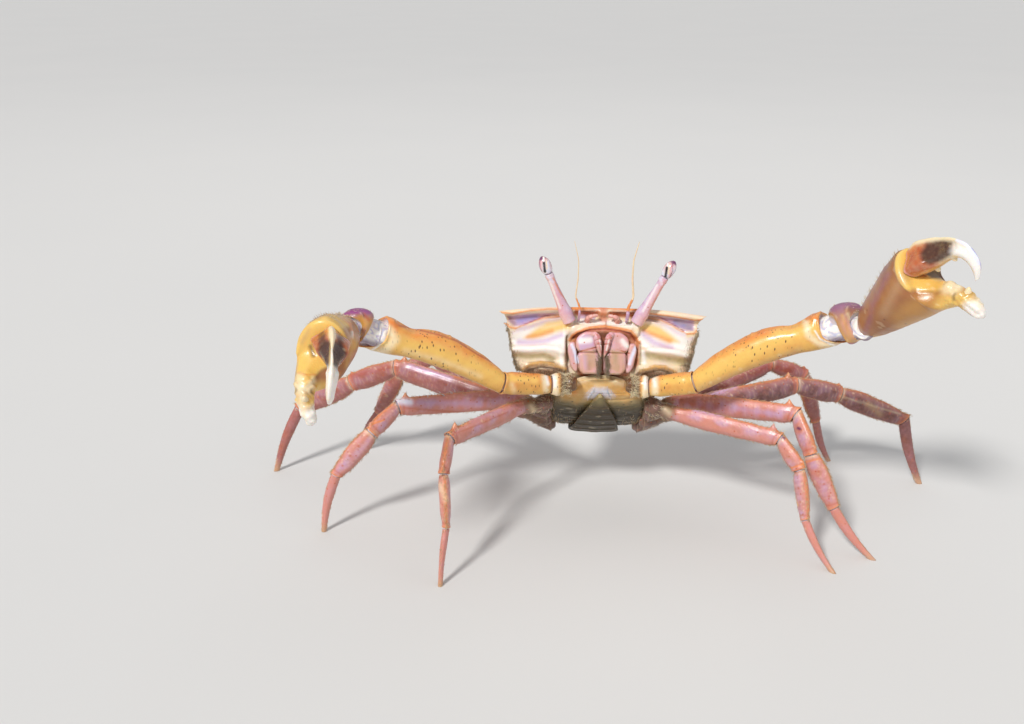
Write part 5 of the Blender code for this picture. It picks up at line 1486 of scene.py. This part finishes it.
def legPaint(side, number, part, run, turn, length, rings):
    def edge(at, width):
        return hump(turn, at, width)

    cloud = ease(-0.5, 0.6, waves(rings, 3.5, 40 + number))
    grime = ease(0.1, 0.7, waves(rings, 1.1, 60 + number))
    scuffs = ease(0.35, 0.8, waves(rings, 0.9, 70 + number))
    spots = edge(15, 9) * ease(0.75, 0.95, np.sin(run * 2.6)) * (part == "propodus")
    ribs = ease(0.3, 1.0, np.sin(run * 7.0 + 3.5 * cloud + 2.5 * np.sin(turn))) * ease(0.3, 0.7, cloud)
    merus = part == "merus"
    paint = np.array(linear(legTones[side][number])) * np.ones((*np.broadcast_shapes(run.shape, turn.shape), 1))
    return layPaints(paint, (
        ("lilac", (0.8 if number < 2 else 0.25) * edge(15, 40) * cloud), ("pink", 0.3 * edge(60, 25)),
        ("bronze", 0.3 * grime), ("cream", 0.45 * scuffs * edge(50, 45)), ("brick", 0.22 * edge(300, 35)),
        ("cream", 0.16 * ribs * edge(0, 50)), ("rust", 0.8 * spots),
        ("orange", 0.85 * edge(90, 17)), ("orange", 0.75 * edge(272, 17)),
        ("orange", 0.75 * bell(run, length, 0.5)), ("rust", 0.6 * bell(run, length - 0.9, 0.2)),
        ("moss", merus * ease(6.5, 3.5, run)), ("soot", 0.7 * merus * ease(4.0, 1.0, run)),
        ("cream", 0.5 * bell(np.maximum(run, 0), 0, 0.5) * (not merus)))), 0.8


def makeLegs():
    for side, sign in bothSides:
        for number in range(4):
            pose, high = legs["poses"][side][number], legs["heights"][number]
            joints = jointsOf(sign, legs["roots"][number], pose[:4])
            forward, reach = pose[4:]
            level = math.sqrt(max(0.0, reach ** 2 - joints[-1][2] ** 2))
            joints.append(joints[-1] + heading(sign, forward, 0) * level - np.array([0, 0, joints[-1][2]]))
            planes = [np.array([sign, 0.0, 0.0]), None] + [mitre(*joints[k - 1:k + 2]) for k in (2, 3, 4)]
            for part, first, last in (("merus", 0, 2), ("carpus", 2, 3), ("propodus", 3, 4)):
                merus = part == "merus"
                line, place = softLine(joints[first:last + 1], legs["step"], 0.9 if merus else 0.0)
                start, rest = 0.0, place[-1]
                if merus:             # the short base, then the merus
                    start = np.linalg.norm(joints[1] - joints[0])
                    rest = np.linalg.norm(joints[2] - joints[1])
                table = [(s * start, h, w) for s, h, w in legs["base"]] if merus else []
                table += [(start + s * rest, h * high, w * high) for s, h, w in legs[part]]
                tall, wide = smooth(table, place).T
                shape, raised = legShape(part)
                rings, place, turn, film, length = limbRings(
                    line, tall, wide, sign, legs["sides"], planes[first], planes[last], shape=shape,
                    raised=raised, lip=legs["lip"], depth=legs["depth"])
                if merus:             # dull felt where the leg leaves the body, and no white skin
                    film[:8] = 0.0
                name = "leg%d_%s_%s" % (number + 1, side, part)
                wash = legPaint(side, number, part, place[:, None], turn[None], length, rings)
                tubePiece(name + "_skin", rings, "leg", name, legMarks[side][number],
                          masks={"membrane": film * 0.8, "wash": wash})
            makeDactyl(side, number, *joints[-2:], planes[4], forward, reach)


def makeDactyl(side, number, ankle, tip, plane, forward, reach):
    sign = 1 if side == "left" else -1
    bow = unit(np.cross(tip - ankle, heading(sign, forward + 90, 0))) * dactyls["bow"]
    t = np.linspace(0, 1, dactyls["rings"])
    line = ankle + (tip - ankle) * t[:, None] + bow * np.sin(math.pi * t)[:, None]
    size = smooth(legs["dactyl"], t) * legs["heights"][number]
    axis = unit(np.gradient(line, axis=0))
    cross = unit(np.cross(axis, heading(sign, forward, 0)))
    tall = np.cross(cross, axis)
    turn = around(dactyls["sides"])
    factor = section(dactyls["facets"], turn)
    leastWide, leastTall = dactyls["least"]
    across = np.cos(turn) * factor * np.maximum(size * dactyls["narrow"], leastWide)[:, None]
    rise = np.sin(turn) * factor * np.maximum(size, leastTall)[:, None]
    rings = line[:, None] + cross[:, None] * across[..., None] + tall[:, None] * rise[..., None]
    for end, normal, spot in ((0, plane, ankle + axis[0] * halfGap), (-1, np.array([0.0, 0.0, 1.0]), tip)):
        slide = ((spot - rings[end]) @ normal) / (axis[end] @ normal)
        span = seams["skew"] * np.abs(slide).max() + dactyls["margin"]
        weight = np.clip(1 - (t if end == 0 else 1 - t) * reach / span, 0, 1) ** 2
        rings = rings + weight[:, None, None] * slide[None, :, None] * axis[end]
    neck = neckOf(rings[0], plane * np.sign(plane @ axis[0]) * dactyls["depth"])
    film = np.concatenate([dactyls["film"], np.zeros(len(t))])[:, None]
    horn = np.concatenate([np.zeros(len(neck)), ease(0.75, 1.0, t)])[:, None]
    tone = layPaints(np.array(linear(legTones[side][number])) * np.ones((*horn.shape, 1)), (("tan", horn),))
    name = "leg%d_%s_dactyl" % (number + 1, side)
    tubePiece(name + "_skin", np.concatenate([neck, rings]), "leg", name,
              masks={"membrane": film, "wash": (tone, 0.6 + 0.2 * horn)})


# setae: thin curved hairs, joined to one mesh for each part of the body
setae = {
    "sides": 3, "steps": 5, "patch": 0.003, "across": 8, "sunk": 0.06, "wander": 0.16, "curl": 0.4,
    "press": 0.2,
    "taper": 0.8, "thickness": (0.8, 1.2), "tint": (0.75, 1.2), "cover": 0.9,
    # on the edges of the limbs: part, how many, longest; then shortest, radius, how far they stand, paint
    "legs": (("merus", 420, 1.0), ("carpus", 170, 0.9), ("propodus", 320, 0.9), ("dactyl", 120, 0.5)),
    "legHair": (0.3, 0.05, 0.65, "tan"), "legEdges": ((90, 16), (270, 22)),
    "arms": (("merus", 60, 0.5), ("carpus", 50, 0.7)), "armHair": (0.2, 0.04, 0.6, "cream"),
    "armEdges": ((90, 20),),
    "palm": ((3, 2.9, 9, 4.4, 13, 5.2, 15.5, 5.0), 0.5, 110, (0.4, 1.3), 0.042, 0.75, "cream"),
    "foot": (160, (0.4, 1.0), 0.036, 0.7),
}
# beds near lines of the picture: skin, lines, reach in pixels, then what each bed of growSetae has
pictureBeds = {
    "knees": (
        ("leg2_right_merus_skin", ((425, 392, 450, 391),), 4, 10, (1.1, 1.9), 0.085, 1.0, "ice"),
        ("leg1_right_merus_skin", ((455, 430, 465, 424),), 4, 12, (0.8, 1.6), 0.05, 0.85, "cream"),
        ("leg1_left_merus_skin", ((770, 425, 785, 434),), 5, 12, (0.8, 1.6), 0.05, 0.85, "cream")),
    "face": (
        ("carapace_skin", ((502, 330, 506, 348, 513, 367), (703, 335, 695, 350, 689, 366)), 5,
         2600, (0.3, 1.0), 0.036, 0.75, "felt"),
        ("carapace_skin", ((521, 369, 530, 364, 552, 363, 566, 369), (641, 370, 663, 367, 676, 372)), 1.6,
         900, (0.3, 0.9), 0.034, 0.5, "tan"),
        ("carapace_skin", ((525, 371, 563, 371), (642, 374, 674, 375)), 3, 700, (0.5, 1.3), 0.034, 0.6,
         "brown")),
    "mouth": (
        ("maxilliped_ischium_left", ((608, 353, 608, 374),), 2.0, 260, (0.6, 1.4), 0.036, 0.5, "umber"),
        ("maxilliped_merus_left", ((580, 351, 596, 347, 611, 347, 630, 352),), 2.0,
         50, (0.25, 0.5), 0.026, 0.4, "tan"),
        ("maxilliped_ischium_right", ((599, 353, 598, 374),), 2.0, 260, (0.6, 1.4), 0.036, 0.5, "umber"),
        ("maxilliped_merus_right", ((580, 351, 596, 347, 611, 347, 630, 352),), 2.0,
         50, (0.25, 0.5), 0.026, 0.4, "tan")),
    "coxae": (
        ("arm_left_coxa_skin", ((634, 374, 634, 396),), 4, 520, (0.4, 1.1), 0.04, 0.7, "cream"),
        ("arm_right_coxa_skin", ((566, 372, 566, 394),), 4, 520, (0.4, 1.1), 0.04, 0.7, "cream")),
    "sternum": (
        ("sternum_skin", ((588, 396, 594, 390, 600, 387, 606, 390, 612, 396),), 2.4,
         380, (0.2, 0.5), 0.036, 0.8, "ice"),
        ("sternum_skin", ((566, 372, 558, 396), (634, 374, 644, 398)), 4, 360, (0.4, 1.0), 0.036, 0.7, "felt"),
        ("sternum_skin", ((540, 405, 560, 422, 640, 422, 660, 405),), 7, 420, (0.3, 0.9), 0.036, 0.6, "tan")),
}
least = 1e-12                     # so that no bed's weights are all nothing


def growSetae(name, beds):  # a bed is (skin, weights, count, (short, long), radius, stand, paint)
    points, uvs, paints = [], [], []
    sides, steps, cells = setae["sides"], setae["steps"], setae["across"]
    t = np.linspace(0, 1, steps)
    corner = around(sides)[:, None]
    for number, (skin, weights, count, (short, long), radius, stand, paint) in enumerate(beds):
        skin = skins[skin]
        chosen = dice.choice(len(weights), count, p=weights / weights.sum())
        root, normal, flow = (skin[key][chosen] for key in ("points", "normals", "flow"))
        flow = unit(flow - normal * (flow * normal).sum(1, keepdims=True))
        way = unit(normal * stand + flow * (1 - stand) + dice.normal(0, setae["wander"], (count, 3)))
        size = dice.uniform(short, long, (count, 1, 1))
        bend = (flow - normal * setae["press"] - way)[:, None] * setae["curl"] * t[None, :, None] ** 2
        path = root[:, None] - normal[:, None] * setae["sunk"] + size * (way[:, None] * t[None, :, None] + bend)
        a = unit(np.cross(way, normal + [0.31, 0.17, 0.05]))
        b = np.cross(a, way)
        thick = radius * (1 - setae["taper"] * t)[None, :, None, None] \
            * dice.uniform(*setae["thickness"], (count, 1, 1, 1))
        ring = a[:, None, None] * np.cos(corner) + b[:, None, None] * np.sin(corner)
        points.append((path[:, :, None] + thick * ring).reshape(-1, 3))
        cell = np.array([number % cells, number // cells]) / cells
        patch = np.stack(np.meshgrid(t, np.linspace(0, 1, sides), indexing="ij"), -1) * setae["patch"] / cells
        uvs.append((cell + skin["unwrap"][chosen][:, None, None] * 0.98 / cells + patch).reshape(-1, 2))
        tint = np.repeat(dice.uniform(*setae["tint"], count), steps * sides)
        paints.append(np.array(linear(paint)) * tint[:, None])
    points, uvs = np.vstack(points), np.vstack(uvs)
    quads, _ = tubeFaces(steps, sides)
    last = (steps - 1) * sides
    tris = np.array([[0, 2, 1], [last, last + 1, last + 2]])
    step = np.arange(0, len(points), steps * sides)[:, None, None]
    wash = (np.clip(np.vstack(paints), 0, 1), np.full(len(points), setae["cover"]))
    piece = finishPiece("setae_" + name, points, (quads + step).reshape(-1, 4), (tris + step).reshape(-1, 3),
                        "setae", masks={"wash": wash})
    layer = piece.data.uv_layers.new(name="OFBake")
    corners = np.zeros(len(piece.data.loops), int)
    piece.data.loops.foreach_get("vertex_index", corners)
    layer.data.foreach_set("uv", uvs[corners].astype(np.float32).ravel())


def nearPixels(skin, line, reach):        # weights of the points near a line, on the photographed side
    skin = skins[skin]
    facing = (unit(camera["place"] - skin["points"]) * skin["normals"]).sum(-1) > -0.35
    return bell(nearLine(toPicture(skin["points"]), line), 0, reach) * facing + least


def edgeOf(skin, spots):
    share, angle = skins[skin]["unwrap"].T
    strong = sum(hump(angle * 2 * math.pi, at, width) for at, width in spots)
    return strong * ease(0.04, 0.1, share) * ease(0.99, 0.95, share) + least


def pictureBed(skin, lines, reach, *rest):
    return (skin, sum(nearPixels(skin, line, reach) for line in lines), *rest)


def makeSetae():
    for side, _ in bothSides:
        beds = []
        short, *rest = setae["legHair"]
        for number in range(1, 5):
            for part, count, longest in setae["legs"]:
                name = "leg%d_%s_%s_skin" % (number, side, part)
                beds.append((name, edgeOf(name, setae["legEdges"]), count, (short, longest), *rest))
        growSetae("legs_" + side, beds)
        beds = []
        short, *rest = setae["armHair"]
        for part, count, longest in setae["arms"]:
            name = "arm_%s_%s_skin" % (side, part)
            beds.append((name, edgeOf(name, setae["armEdges"]), count, (short, longest), *rest))
        name = "arm_%s_palm_skin" % side
        line, width, *rest = setae["palm"]
        beds.append((name, bell(nearLine(skins[name]["own"], line), 0, width) + least, *rest))
        growSetae("arm_" + side, beds)
    growSetae("knees", [pictureBed(*row) for row in pictureBeds["knees"]])
    growSetae("face", [pictureBed(*row) for row in pictureBeds["face"]])
    growSetae("mouth", [pictureBed(*row) for row in pictureBeds["mouth"]])
    beds = []
    for (side, _), row in zip(bothSides, pictureBeds["coxae"]):
        beds.append(pictureBed(*row))
        for number in (1, 2, 3):
            name = "leg%d_%s_merus_skin" % (number, side)
            foot = ease(0.22, 0.12, skins[name]["unwrap"][:, 0]) + least
            beds.append((name, foot, *setae["foot"], "felt" if number > 1 else "cream"))
    growSetae("coxae", beds)
    growSetae("sternum", [pictureBed(*row) for row in pictureBeds["sternum"]])


for stage, makers in (("shell", (makeShell,)), ("underside and mouthparts", (makeUnderside, makeMouth)),
                      ("eyes and feelers", (makeEyes, makeFeelers)), ("claw arms", (makeArms,)),
                      ("walking legs", (makeLegs,)), ("setae", (makeSetae,))):
    for make in makers:
        make()
    print(stage, "done")


# floor, light and camera
studio = {
    "floor": "d6d4d0", "size": 12.0, "rough": 0.85, "world": 0.42, "sky": (0.9, 0.93, 1.0, 1.0),
    "aim": (0.0, 0.0, 0.03),
    "lamps": {                    # kind, strength, size (an angle for the sun), place
        "key": ("SUN", 2.7, 0.16, (-0.32, -0.5, 0.55)), "fill": ("AREA", 0.5, 0.5, (0.5, -0.35, 0.3)),
        "top": ("AREA", 0.6, 0.6, (0.0, 0.25, 0.6)),
    },
}


def makeStage():
    scene = bpy.context.scene
    bpy.ops.mesh.primitive_grid_add(x_subdivisions=8, y_subdivisions=8, size=studio["size"])
    floor = bpy.context.object
    floor.name = "floor"
    made = bpy.data.materials.new("floor")
    made.use_nodes = True
    tree = made.node_tree
    shader = tree.nodes["Principled BSDF"]
    cloud = node(tree, "ShaderNodeTexNoise", {"Vector": places(tree), "Scale": 9.0, "Detail": 3.0})
    share = spread(tree, cloud.outputs[0], 0.0, 1.0, 0.0, 0.12)
    tree.links.new(blendPaint(tree, share, studio["floor"], "white"), shader.inputs["Base Color"])
    shader.inputs["Roughness"].default_value = studio["rough"]
    floor.data.materials.append(made)
    for name, (kind, power, size, place) in studio["lamps"].items():
        data = bpy.data.lights.new(name, kind)
        data.energy = power
        setattr(data, "angle" if kind == "SUN" else "size", size)
        lamp = bpy.data.objects.new(name, data)
        lamp.location = place
        lamp.rotation_euler = (Vector(studio["aim"]) - Vector(place)).to_track_quat("-Z", "Y").to_euler()
        scene.collection.objects.link(lamp)
    scene.world = bpy.data.worlds.new("studio")
    scene.world.use_nodes = True
    sky = scene.world.node_tree.nodes["Background"].inputs
    sky[0].default_value = studio["sky"]
    sky[1].default_value = studio["world"]
    data = bpy.data.cameras.new("camera")
    data.sensor_width = camera["sensor"]
    data.lens = camera["focal"] * camera["sensor"] / camera["size"][0]
    data.clip_start = 0.001
    eye = bpy.data.objects.new("camera", data)
    eye.location = (camera["place"] - shift) * metre
    eye.rotation_euler = (math.radians(camera["tilt"]), 0, 0)
    scene.collection.objects.link(eye)
    scene.camera = eye
    scene.view_settings.view_transform = "Standard"


makeStage()
print("stage done")
